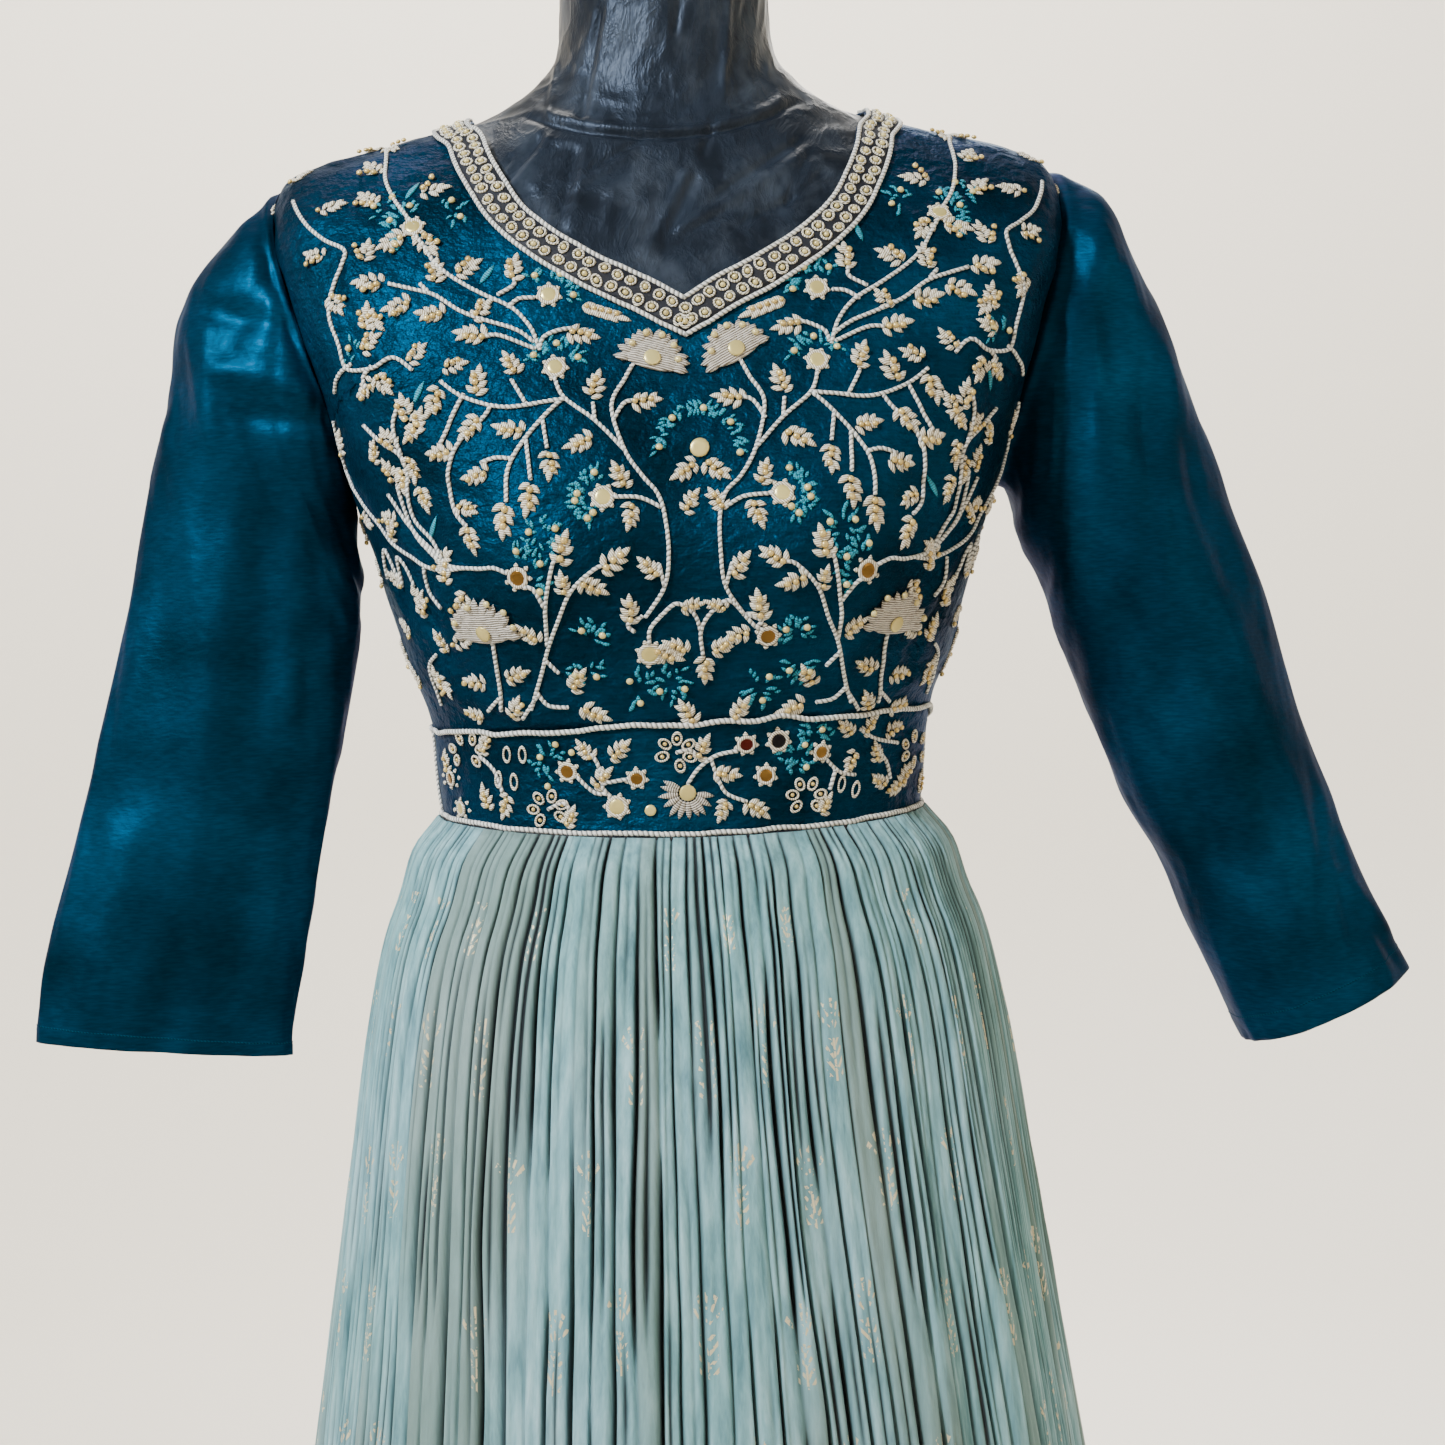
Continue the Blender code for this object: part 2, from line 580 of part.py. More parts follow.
def form_torso(material):
    """The dress form: rings of the figure from the seat to the neck, closed at both ends."""
    count = TORSO_POINTS
    turn = np.linspace(0, 2 * math.pi, count, endpoint=False)[None, :]
    row = np.array(TORSO_ROWS, float)[::-1, None]
    rings = figure_point(turn, row, FORM_CUP_FORWARD).reshape(-1, 3)
    index = np.arange(len(rings)).reshape(-1, count)
    index = np.concatenate([index, index[:, :1]], axis=1)
    corners = index[:-1, :-1], index[:-1, 1:], index[1:, 1:], index[1:, :-1]
    a, b, c, d = (corner.ravel() for corner in corners)
    faces = [np.stack([a, b, c], -1), np.stack([a, c, d], -1)]
    ends = np.array([(0, 0, TORSO_BOTTOM_Z), (0, 2, NECK_TOP_Z)])
    for ring, end in ((index[0, ::-1], len(rings)), (index[-1], len(rings) + 1)):
        faces.append(np.stack([ring[:-1], ring[1:], np.full(count, end)], -1))
    points = np.concatenate([rings, ends]) * MM
    solid("form_torso", points, np.concatenate(faces), material)


def disc(radius, foot, top, bevel=0.0):
    """The profile of a disc or rod, outer side top to bottom, with its top edge bevelled."""
    corner = [(radius - bevel, top), (radius, top - bevel)] if bevel else [(radius, top)]
    return [(0, top), *corner, (radius, foot), (0, foot)]


def stand(material):
    turned("stand_base", disc(BASE_RADIUS, 0, BASE_THICK, BASE_BEVEL), material)
    flange_foot = TORSO_BOTTOM_Z - SEAM - FLANGE_THICK
    pole = disc(POLE_RADIUS, BASE_THICK + SEAM, flange_foot - SEAM)
    turned("stand_pole", pole, material, steps=24)
    flange = disc(FLANGE_RADIUS, flange_foot, TORSO_BOTTOM_Z - SEAM)
    turned("form_flange", flange, material, steps=32)


for old in list(bpy.data.objects):
    bpy.data.objects.remove(old)
GOWN = bpy.data.collections.new("silk_gown")
bpy.context.scene.collection.children.link(GOWN)

satin = finish("teal_satin", "0A4A60", 0.38)
crepe = finish("powder_blue_crepe", "9FBFC6", 0.75)
navy = finish("navy_border", "10182C", 0.6)
braid = finish("silver_cord", "C9CBC4", 0.45)
cover = finish("black_form_cover", "15171C", 0.4)
steel = finish("black_stand", "1B1B1D", 0.35, 0.6)

bodice(satin)
waistband(satin)
skirt(crepe)
sleeve("sleeve_left", SLEEVE_LEFT, SLEEVE_FOLDS_LEFT, 1, satin)
sleeve("sleeve_right", SLEEVE_RIGHT, SLEEVE_FOLDS_RIGHT, -1, satin)
neck_trim(navy, braid)
waist_cords(braid)
form_torso(cover)
stand(steel)
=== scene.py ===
# %% [markdown]
# # A silk gown on a dress form
#
# The real thing is an Indian-style long gown: a deep teal satin bodice with couched
# embroidery, a beaded V neck, a stitched waistband, plain satin sleeves and a powder-blue
# crinkled silk skirt gathered into the band. It hangs on a black, limbless dress form.
#
# The CAD frame gives the sizes. Each soft CAD solid is replaced here by a finer sheet on
# the same form. Every new surface is a numpy function of two parameters on a grid.

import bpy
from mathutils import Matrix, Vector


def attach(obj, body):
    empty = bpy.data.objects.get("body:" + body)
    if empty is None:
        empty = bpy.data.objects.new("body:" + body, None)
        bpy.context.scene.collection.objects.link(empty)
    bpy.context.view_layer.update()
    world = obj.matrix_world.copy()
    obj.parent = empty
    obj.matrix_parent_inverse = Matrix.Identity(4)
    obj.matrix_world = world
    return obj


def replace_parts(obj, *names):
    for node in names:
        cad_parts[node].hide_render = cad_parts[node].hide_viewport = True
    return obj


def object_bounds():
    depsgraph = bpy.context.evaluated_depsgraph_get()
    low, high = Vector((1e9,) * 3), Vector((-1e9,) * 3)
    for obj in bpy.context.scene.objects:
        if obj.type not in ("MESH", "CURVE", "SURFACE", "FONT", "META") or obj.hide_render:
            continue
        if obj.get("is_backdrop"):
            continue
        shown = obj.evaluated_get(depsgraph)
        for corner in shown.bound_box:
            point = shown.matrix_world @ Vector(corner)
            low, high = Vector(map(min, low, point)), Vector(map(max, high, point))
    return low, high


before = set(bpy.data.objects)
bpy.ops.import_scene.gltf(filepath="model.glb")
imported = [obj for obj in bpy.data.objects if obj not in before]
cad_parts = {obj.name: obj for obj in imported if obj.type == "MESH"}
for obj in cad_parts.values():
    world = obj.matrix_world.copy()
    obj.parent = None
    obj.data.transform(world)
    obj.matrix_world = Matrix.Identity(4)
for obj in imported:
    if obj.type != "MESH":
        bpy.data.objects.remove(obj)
cad_box = [list(corner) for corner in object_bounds()]

import math

import bmesh
import bpy
import numpy as np
from mathutils import Matrix, Vector

MM = 0.001
QUARTER = math.pi / 2
print("CAD nodes:", len(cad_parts))

# %% [markdown]
# ## Small tools
#
# Colours are easiest to read as sRGB hex values, but shaders want linear numbers, so one
# function turns them. One more adds a shader node with its settings and its links. Smooth
# noise and table curves are plain numpy, so that the whole script gives the same result
# each time it runs.


# %% Colour, nodes and curves
def linear(colour):
    """The linear RGBA of an sRGB hex colour: each channel is raised from its gamma."""
    parts = [int(colour[k : k + 2], 16) / 255 for k in (0, 2, 4)]
    return (*[p / 12.92 if p <= 0.04045 else ((p + 0.055) / 1.055) ** 2.4 for p in parts], 1)


def add_node(tree, kind, inputs=None, **settings):
    """Adds a shader node. Inputs map a socket to a value or to the output linked to it."""
    made = tree.nodes.new("ShaderNode" + kind)
    for name, value in settings.items():
        setattr(made, name, value)
    for key, value in (inputs or {}).items():
        if isinstance(value, bpy.types.NodeSocket):
            tree.links.new(value, made.inputs[key])
        else:
            made.inputs[key].default_value = value
    return made


def along_rows(rows, at):
    """A smooth curve through the rows of a table, at fractional rows (Catmull-Rom): each
    value is a cubic blend of the row before, the two around it and the one beyond."""
    rows = np.asarray(rows, float)
    last = len(rows) - 1
    at = np.clip(at, 0, last)
    low = np.minimum(at.astype(int), last - 1)
    part = (at - low).reshape(at.shape + (1,) * (rows.ndim - 1))
    before, here = rows[np.maximum(low - 1, 0)], rows[low]
    there, beyond = rows[low + 1], rows[np.minimum(low + 2, last)]
    turn = 2 * before - 5 * here + 4 * there - beyond
    twist = 3 * here - before - 3 * there + beyond
    return (2 * here + (there - before) * part + turn * part**2 + twist * part**3) / 2


def soft_step(value, start, end):
    """0 before start, 1 after end, and a cubic step between."""
    part = np.clip((value - start) / (end - start), 0, 1)
    return part * part * (3 - 2 * part)


def soft_noise(u, v, seed):
    """Smooth noise from -1 to 1: random numbers at whole u and v, blended by cubic steps."""
    u, v = np.broadcast_arrays(np.asarray(u, float), np.asarray(v, float))
    grid = np.random.default_rng(seed).uniform(-1, 1, (97, 89))
    cell_u, cell_v = np.floor(u).astype(int), np.floor(v).astype(int)
    part_u, part_v = u - cell_u, v - cell_v
    part_u, part_v = part_u**2 * (3 - 2 * part_u), part_v**2 * (3 - 2 * part_v)
    corner = lambda i, j: grid[(cell_u + i) % 97, (cell_v + j) % 89]
    low = corner(0, 0) * (1 - part_u) + corner(1, 0) * part_u
    high = corner(0, 1) * (1 - part_u) + corner(1, 1) * part_u
    return low * (1 - part_v) + high * part_v


print("tools ready")

# %% [markdown]
# ## The figure under the gown
#
# The gown's upper half follows a figure: level or tilted oval rings from the neck to the
# hips. These are the CAD source's own rings in millimetres, so the new cloth lies on the
# solids. One thing is added. The real form leans a little on its stand, with the wearer's
# left shoulder higher, so everything above the waist is sheared by a few millimetres.

# %% The figure's rings and its surface
CLOTH_OUT = 2.4
CLOTH_THICK = 0.9
TRIM_LIFT = 0.5
WAIST_SEAM_Z = 1112.0
BAND_FOOT_Z = 1068.0
BAND_DIP = 7.0
HEM_Z = 50.0
SEAM = 0.3
TORSO_BOTTOM_Z = 800.0

# side x, side z, front y, front z, back y, back z, fullness of the corners
FIGURE = np.array(
    [
        (51, 1508, 50, 1503, 54, 1512, 2.1),  # neck top
        (51.5, 1462, 51, 1450, 57, 1470, 2.1),
        (54, 1440, 53, 1418, 61, 1448, 2.1),
        (63, 1428, 57, 1400, 68, 1434, 2.15),  # neck base
        (80, 1415, 62, 1388, 77, 1418, 2.2),
        (101, 1406, 68, 1372, 85, 1401, 2.3),
        (135, 1397, 79, 1347, 93, 1375, 2.4),
        (170, 1388, 90, 1322, 99, 1345, 2.5),
        (187, 1378, 97, 1302, 102, 1322, 2.6),  # shoulder point
        (190, 1355, 103, 1283, 103.5, 1300, 2.8),
        (181, 1318, 111, 1257, 103, 1272, 2.8),
        (167, 1270, 118.5, 1230, 100, 1243, 2.7),
        (155, 1226, 123, 1206, 96.5, 1214, 2.5),  # armpit
        (144.5, 1191, 122.5, 1182, 92, 1188, 2.4),
        (133.5, 1150, 111, 1150, 87, 1150, 2.3),
        (122, 1118, 97, 1118, 81.5, 1118, 2.25),  # ribs
        (118, 1085, 88, 1085, 77, 1085, 2.2),
        (117, 1055, 85.5, 1055, 76, 1055, 2.2),  # waist
        (127, 1005, 90, 1005, 86, 1005, 2.2),
        (142, 955, 98, 955, 101, 955, 2.2),
        (153, 900, 104, 900, 110, 900, 2.2),  # hip
        (156, 850, 104, 850, 111, 850, 2.2),
        (150, TORSO_BOTTOM_Z, 100, TORSO_BOTTOM_Z, 106, TORSO_BOTTOM_Z, 2.2),
    ]
)
RING_TILT = 1.75
SHOULDER_ROW, ARMPIT_ROW, HIGH_SHOULDER_ROW, BACK_NECK_ROW = 8.0, 12.0, 4.72, 5.7
ARMHOLE_SCOOP = math.radians(22.5)
CUP_FORWARD, FORM_CUP_FORWARD = 9.0, 7.5
CUP_X, CUP_Z, CUP_WIDE, CUP_TALL = 72.0, 1195.0, 42.0, 48.0
LEAN, LEAN_FROM_Z, LEAN_TO_Z = 0.02, 1130.0, 1330.0
LAST_SEEN_ROW, WIDEST_ROW, SEAM_PULL_ROW = 17.2, 8.5, 13.6


def oval(turn, side, front, back, square):
    """A rounded oval: x, y and how far its point is towards front or back, 0 at the side.
    The turn is 0 at centre front and a quarter turn at the wearer's left side."""
    across, ahead = np.sin(turn), np.cos(turn)
    size = (np.abs(across) ** square + np.abs(ahead) ** square) ** (-1 / square)
    depth = np.where(ahead > 0, front, back)
    return side * size * across, -depth * size * ahead, np.abs(size * ahead)


def figure_point(turn, row, forward=CUP_FORWARD):
    """A point of the figure in mm: its ring's oval, tilted, with the bust shaped on it."""
    turn, row = np.broadcast_arrays(np.asarray(turn, float), np.asarray(row, float))
    columns = np.moveaxis(along_rows(FIGURE, row), -1, 0)
    side_x, side_z, front_y, front_z, back_y, back_z, square = columns
    x, y, ahead = oval(turn, side_x, front_y, back_y, square)
    end_z = np.where(np.cos(turn) > 0, front_z, back_z)
    z = side_z + (end_z - side_z) * ahead**RING_TILT
    spread = ((np.abs(x) - CUP_X) / CUP_WIDE) ** 2 + ((z - CUP_Z) / CUP_TALL) ** 2
    y = y - forward * np.exp(-spread) * np.clip(np.cos(turn), 0, 1) ** 0.5
    return np.stack([x, y, z], -1)


def unit(vectors):
    """Vectors made one long."""
    return vectors / np.maximum(np.linalg.norm(vectors, axis=-1, keepdims=True), 1e-12)


def figure_normal(turn, row):
    """The outward normal of the figure: the cross product of its two slopes."""
    around = figure_point(turn + 0.02, row) - figure_point(turn - 0.02, row)
    down = figure_point(turn, row + 0.05) - figure_point(turn, row - 0.05)
    return unit(np.cross(down, around))


def leaned(points):
    """Shears points in mm upwards on the wearer's left and down on the right, above the
    waist only: z grows by a share of x, which comes in over a smooth step."""
    rise = LEAN * points[..., 0] * soft_step(points[..., 2], LEAN_FROM_Z, LEAN_TO_Z)
    return points + rise[..., None] * (0, 0, 1)


def seen_from_front(x, z):
    """The turn and row of the front point that is seen at x and z in mm, by halving."""
    low = np.full(np.shape(x), HIGH_SHOULDER_ROW - 1)
    high = np.full(np.shape(x), LAST_SEEN_ROW)
    for _ in range(40):
        row = (low + high) / 2
        columns = np.moveaxis(along_rows(FIGURE, row), -1, 0)
        side_x, side_z, front_z, square = columns[[0, 1, 3, 6]]
        across = np.clip(np.abs(x) / side_x, 0, 1)
        ahead = (1 - across**square) ** (1 / square)
        above = side_z + (front_z - side_z) * ahead**RING_TILT > z
        above = np.where(np.abs(x) > side_x, row < WIDEST_ROW, above)
        low, high = np.where(above, row, low), np.where(above, high, row)
    return np.sign(x) * np.arctan2(across, ahead), row


def row_at_height(z):
    """The row of the figure at a height below the armpit, where its rings are level."""
    rows = np.linspace(ARMPIT_ROW + 1, len(FIGURE) - 1, 900)
    return np.interp(-np.asarray(z, float), -along_rows(FIGURE, rows)[:, 1], rows)


print("bust point:", figure_point(math.radians(35), 13.0).round(1))

# %% [markdown]
# ## From grids to meshes
#
# A grid of points becomes a mesh of four-sided faces in one call. The Solidify modifier
# then gives cloth its thickness, inwards, so the outer side stays where it was worked out.
# A UV map in metres along the cloth lets threads and prints follow it.


# %% Mesh makers
def make_piece(name, points, faces, material, slot, uv=None, attributes=None):
    """An object from points in mm and equal-sided faces, which rides on the frame."""
    mesh = bpy.data.meshes.new(name)
    faces = np.asarray(faces, np.int32)
    sides = faces.shape[1]
    mesh.vertices.add(len(points))
    mesh.vertices.foreach_set("co", (points * MM).astype(np.float32).ravel())
    mesh.loops.add(faces.size)
    mesh.loops.foreach_set("vertex_index", faces.ravel())
    mesh.polygons.add(len(faces))
    mesh.polygons.foreach_set("loop_start", np.arange(0, faces.size, sides, dtype=np.int32))
    mesh.update(calc_edges=True)
    if uv is not None:
        layer = mesh.uv_layers.new(name="cloth_metres")
        layer.data.foreach_set("uv", uv[faces.ravel()].astype(np.float32).ravel())
    for title, values in (attributes or {}).items():
        layer = mesh.attributes.new(title, "FLOAT", "POINT")
        layer.data.foreach_set("value", values.astype(np.float32).ravel())
    mesh.validate()
    mesh.shade_smooth()
    mesh.materials.append(material)
    piece = bpy.data.objects.new(name, mesh)
    bpy.context.scene.collection.objects.link(piece)
    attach(piece, "root")
    return piece


def grid_faces(rows, columns, round_about=False, start=0, flip=False):
    """Four-sided faces of a grid, row by row; round_about joins its last column to the first."""
    index = np.arange(rows * columns).reshape(rows, columns) + start
    if round_about:
        index = np.concatenate([index, index[:, :1]], axis=1)
    corners = index[:-1, :-1], index[:-1, 1:], index[1:, 1:], index[1:, :-1]
    faces = np.stack([corner.ravel() for corner in corners], -1)
    return faces[:, ::-1] if flip else faces


def facing_out(points, faces, outwards):
    """The faces, turned round if most of them look against the outward directions."""
    a, b, c = (points[faces[:, k]] for k in range(3))
    looks = np.cross(b - a, c - a)
    return faces if (looks * outwards[faces[:, 0]]).sum() > 0 else faces[:, ::-1]


def thicken(piece, thickness):
    """Gives a sheet its thickness in mm, inwards, with closed edges."""
    wall = piece.modifiers.new("cloth_thickness", "SOLIDIFY")
    wall.thickness = thickness * MM
    wall.offset = -1
    wall.use_rim = True
    return piece


def grid_normals(points, round_about=False):
    """Unit normals of a grid of points from its two slopes."""
    down = np.gradient(points, axis=0)
    if round_about:
        across = np.roll(points, -1, axis=1) - np.roll(points, 1, axis=1)
    else:
        across = np.gradient(points, axis=1)
    return unit(np.cross(down, across))


def sheet_area(points, faces):
    """The area in square metres of four-sided faces, as two triangles each."""
    a, b, c, d = (points[faces[:, k]] * MM for k in range(4))
    halves = np.linalg.norm(np.cross(b - a, c - a), axis=1)
    return float(halves.sum() + np.linalg.norm(np.cross(c - a, d - a), axis=1).sum()) / 2


print("mesh makers ready")

# %% [markdown]
# ## Silk satin, deep teal
#
# The bodice, band and sleeves are a light silk satin with small slubs. Satin floats its
# warp threads on top, so it has a soft sheen that runs along folds, and the dye sits a
# little unevenly. The threads are about 0.1 mm, far too fine for this picture, so only the
# slubs are drawn, about 1 mm high and 6 mm long.


# %% Teal satin
def cloth_material(name, roughness, sheen, sheen_colour):
    """A new material: its tree, shader and a texture coordinate node."""
    material = bpy.data.materials.new(name)
    material.use_nodes = True
    tree = material.node_tree
    shader = tree.nodes["Principled BSDF"]
    shader.inputs["Roughness"].default_value = roughness
    shader.inputs["Sheen Weight"].default_value = sheen
    shader.inputs["Sheen Roughness"].default_value = 0.4
    shader.inputs["Sheen Tint"].default_value = linear(sheen_colour)
    return material, tree, shader, add_node(tree, "TexCoord")


def noise(tree, place, size_mm, detail=2.0, stretch=(1, 1, 1), roughness=0.5):
    """A noise pattern whose patches are about that many mm, stretched along the axes."""
    scaled = add_node(tree, "Mapping", {"Vector": place, "Scale": stretch})
    settings = {"Vector": scaled.outputs[0], "Scale": 1 / (size_mm * MM)}
    settings.update({"Detail": detail, "Roughness": roughness})
    return add_node(tree, "TexNoise", settings).outputs["Fac"]


def ramp(tree, factor, *stops):
    """A colour ramp through (position, hex colour) stops."""
    made = add_node(tree, "ValToRGB", {"Fac": factor})
    elements = made.color_ramp.elements
    while len(elements) < len(stops):
        elements.new(0.5)
    for element, (position, colour) in zip(elements, stops):
        element.position, element.color = position, linear(colour)
    return made.outputs["Color"]


def bump(tree, height, strength, distance_mm, normal=None):
    """A bump node: the height's pattern raised by that distance."""
    made = {"Height": height, "Strength": strength, "Distance": distance_mm * MM}
    if normal is not None:
        made["Normal"] = normal
    return add_node(tree, "Bump", made).outputs["Normal"]


def teal_satin(name, wrinkle):
    """Satin whose wrinkles are as strong as asked, because stitching draws the cloth up: a
    cloudy colour times the slubs, over bumps of 26 mm, 6 mm and the slubs."""
    material, tree, shader, place = cloth_material(name, 0.44, 0.0, "5FA8C0")
    # dyed silk throws its light back in its own colour, as a metal does
    shader.inputs["Metallic"].default_value = 0.5
    shader.inputs["Specular IOR Level"].default_value = 0.12
    shader.inputs["Specular Tint"].default_value = linear("1C8FC0")
    spot = place.outputs["Object"]
    clouds = noise(tree, spot, 60, 3)
    slubs = noise(tree, spot, 1.5, 1, (0.25, 0.25, 1.6))
    cloudy = ramp(tree, clouds, (0.3, "002434"), (0.52, "00324A"), (0.72, "00405E"))
    light = ramp(tree, slubs, (0.35, "C4C4C4"), (0.7, "FFFFFF"))
    mix = add_node(tree, "Mix", {0: 0.7}, data_type="RGBA", blend_type="MULTIPLY")
    tree.links.new(cloudy, mix.inputs[6])
    tree.links.new(light, mix.inputs[7])
    tree.links.new(mix.outputs[2], shader.inputs["Base Color"])
    soft = bump(tree, noise(tree, spot, 26, 3, (1, 1, 0.7)), 0.45, 2.2)
    drawn = bump(tree, noise(tree, spot, 6, 3, (1, 1, 1.3), 0.6), wrinkle, 2.6, soft)
    tree.links.new(bump(tree, slubs, 0.25, 0.2, drawn), shader.inputs["Normal"])
    return material


TEAL = teal_satin("silk_satin_teal", 0.12)
STITCHED_TEAL = teal_satin("silk_satin_drawn_up", 0.9)
print("teal satin made")

# %% [markdown]
# ## Crinkled silk, powder blue
#
# The skirt is a crinkled georgette: a thin, matt silk that is steamed in tight uneven
# pleats. Light passes into the ridges, and the material paints shade into the deep valleys
# where the mesh's own "valley" attribute is high. It also greys some whole pleats with
# painted shade, read from a second attribute. Pale gold foil sprigs are printed in a brick
# layout. They are drawn with the UV map, which is in metres along the flat cloth, so the folds
# break them up as on the real one.

# %% Powder-blue georgette with foil sprigs
SPRIG_WIDE, SPRIG_TALL = 78.0, 62.0
SPRIG_RISE, SPRIG_DRIFT, SPRIGS_KEPT, SPRIG_TOP_M = 0.65, 0.3, 0.8, 0.985
LEAF_PAIR_STEP, LEAF_PAIR_SLANT = 5.6, 0.8
FOIL_WORN_OFF, FOIL_HIDDEN = 0.47, 0.24


def maths(tree, operation, *values):
    """One maths node on values or sockets."""
    inputs = dict(enumerate(values))
    return add_node(tree, "Math", inputs, operation=operation).outputs[0]


def plus(tree, a, b):
    """The sum of two values or sockets."""
    return maths(tree, "ADD", a, b)


def minus(tree, a, b):
    """The first value or socket less the second."""
    return maths(tree, "SUBTRACT", a, b)


def times(tree, a, b):
    """The product of two values or sockets."""
    return maths(tree, "MULTIPLY", a, b)


def between(tree, value, low, high):
    """1 where the value lies between low and high."""
    above = maths(tree, "GREATER_THAN", value, low)
    return times(tree, above, maths(tree, "LESS_THAN", value, high))


def sprig_mask(tree, place):
    """A fan of short dashes over a dotted stem, in each brick of the cloth.

    In each brick the angle and distance from the fan's foot pick out the dashes: a dash is
    where the cosine of a multiple of the angle is high and the distance is in its band."""
    split = add_node(tree, "SeparateXYZ", {0: place.outputs["UV"]})
    across = times(tree, split.outputs[0], 1 / (SPRIG_WIDE * MM))
    up = times(tree, split.outputs[1], 1 / (SPRIG_TALL * MM))
    up = plus(tree, up, SPRIG_RISE)
    shift = times(tree, maths(tree, "FLOOR", up), 0.5)
    across = plus(tree, across, shift)
    corner = {0: maths(tree, "FLOOR", across), 1: maths(tree, "FLOOR", up)}
    brick = add_node(tree, "CombineXYZ", corner).outputs[0]
    chance = add_node(tree, "TexWhiteNoise", {"Vector": brick}, noise_dimensions="3D").outputs[0]
    drift = times(tree, minus(tree, chance, 0.5), SPRIG_DRIFT)
    across = minus(tree, maths(tree, "FRACT", across), plus(tree, drift, 0.5))
    x = times(tree, across, SPRIG_WIDE)
    up = minus(tree, maths(tree, "FRACT", up), minus(tree, 0.42, drift))
    y = times(tree, up, SPRIG_TALL)
    angle = maths(tree, "ARCTAN2", x, y)
    square = plus(tree, times(tree, x, x), times(tree, y, y))
    distance = maths(tree, "SQRT", square)
    near = between(tree, angle, -1.15, 1.15)
    mask = None
    # dashes: how many to a turn, inner and outer radius, how thin
    for count, inner, outer, thin in ((14, 8.5, 16, 0.3), (9, 3, 7, 0.2)):
        wave = maths(tree, "COSINE", times(tree, angle, count))
        dash = times(tree, maths(tree, "GREATER_THAN", wave, thin), near)
        dash = times(tree, dash, between(tree, distance, inner, outer))
        mask = dash if mask is None else maths(tree, "MAXIMUM", mask, dash)
    # leaf pairs down the stem: chevrons, where the cosine of y less a share of x is high
    aside = maths(tree, "ABSOLUTE", x)
    slant = minus(tree, y, times(tree, aside, LEAF_PAIR_SLANT))
    wave = maths(tree, "COSINE", times(tree, slant, 2 * math.pi / LEAF_PAIR_STEP))
    pairs = times(tree, maths(tree, "GREATER_THAN", wave, 0.3), between(tree, aside, 1.3, 7))
    pairs = times(tree, pairs, between(tree, y, -19, -2))
    mask = maths(tree, "MAXIMUM", mask, pairs)
    stem = times(tree, between(tree, x, -0.9, 0.9), between(tree, y, -21, -1.5))
    below_band = maths(tree, "LESS_THAN", split.outputs[1], SPRIG_TOP_M)
    kept = times(tree, below_band, maths(tree, "LESS_THAN", chance, SPRIGS_KEPT))
    return times(tree, maths(tree, "MAXIMUM", mask, stem), kept)


def powder_blue_crepe():
    """Georgette: streaks of blue, greyed pleat by pleat with painted shade, painted shade
    (near black) where the "valley" attribute is high, and foil where the sprigs are, unless it
    is worn off or deep in a pleat."""
    material, tree, shader, place = cloth_material("crinkled_georgette", 0.82, 0.25, "E4F4F6")
    spot = place.outputs["Object"]
    valley = add_node(tree, "Attribute", attribute_name="valley").outputs["Fac"]
    streak = noise(tree, spot, 7, 4, (1, 1, 0.06), 0.65)
    tint = noise(tree, spot, 120, 2)
    blue = ramp(tree, streak, (0.25, "527E89"), (0.5, "84B1BA"), (0.75, "B2D8E0"))
    warm = ramp(tree, tint, (0.35, "DDEBE6"), (0.65, "FFFFFF"))
    tinted = add_node(tree, "Mix", {0: 1.0}, data_type="RGBA", blend_type="MULTIPLY")
    # painted shade: whole pleats greyed towards grey-green, as if turned from the light
    pleat_shade = add_node(tree, "Attribute", attribute_name="painted_pleat_shade").outputs["Fac"]
    own = add_node(tree, "Mix", {0: pleat_shade}, data_type="RGBA")
    tree.links.new(blue, own.inputs[6])
    own.inputs[7].default_value = linear("7F8F88")
    tree.links.new(own.outputs[2], tinted.inputs[6])
    tree.links.new(warm, tinted.inputs[7])
    # painted shade: the slits go near black where the valley attribute is high
    deep = add_node(tree, "Mix", {0: valley}, data_type="RGBA")
    tree.links.new(tinted.outputs[2], deep.inputs[6])
    deep.inputs[7].default_value = linear("06151B")
    worn = noise(tree, spot, 2.5, 2)
    foil = times(tree, sprig_mask(tree, place), maths(tree, "GREATER_THAN", worn, FOIL_WORN_OFF))
    foil = times(tree, foil, maths(tree, "LESS_THAN", valley, FOIL_HIDDEN))
    printed = add_node(tree, "Mix", {0: foil}, data_type="RGBA")
    tree.links.new(deep.outputs[2], printed.inputs[6])
    printed.inputs[7].default_value = linear("DDD1AC")
    tree.links.new(printed.outputs[2], shader.inputs["Base Color"])
    tree.links.new(times(tree, foil, 0.5), shader.inputs["Metallic"])
    rough = minus(tree, 0.82, times(tree, foil, 0.42))
    tree.links.new(rough, shader.inputs["Roughness"])
    crinkle = noise(tree, spot, 3.2, 3, (1, 1, 0.12), 0.6)
    wide = bump(tree, streak, 0.6, 1.6)
    tree.links.new(bump(tree, crinkle, 0.5, 0.7, wide), shader.inputs["Normal"])
    return material


CREPE = powder_blue_crepe()
print("georgette made")
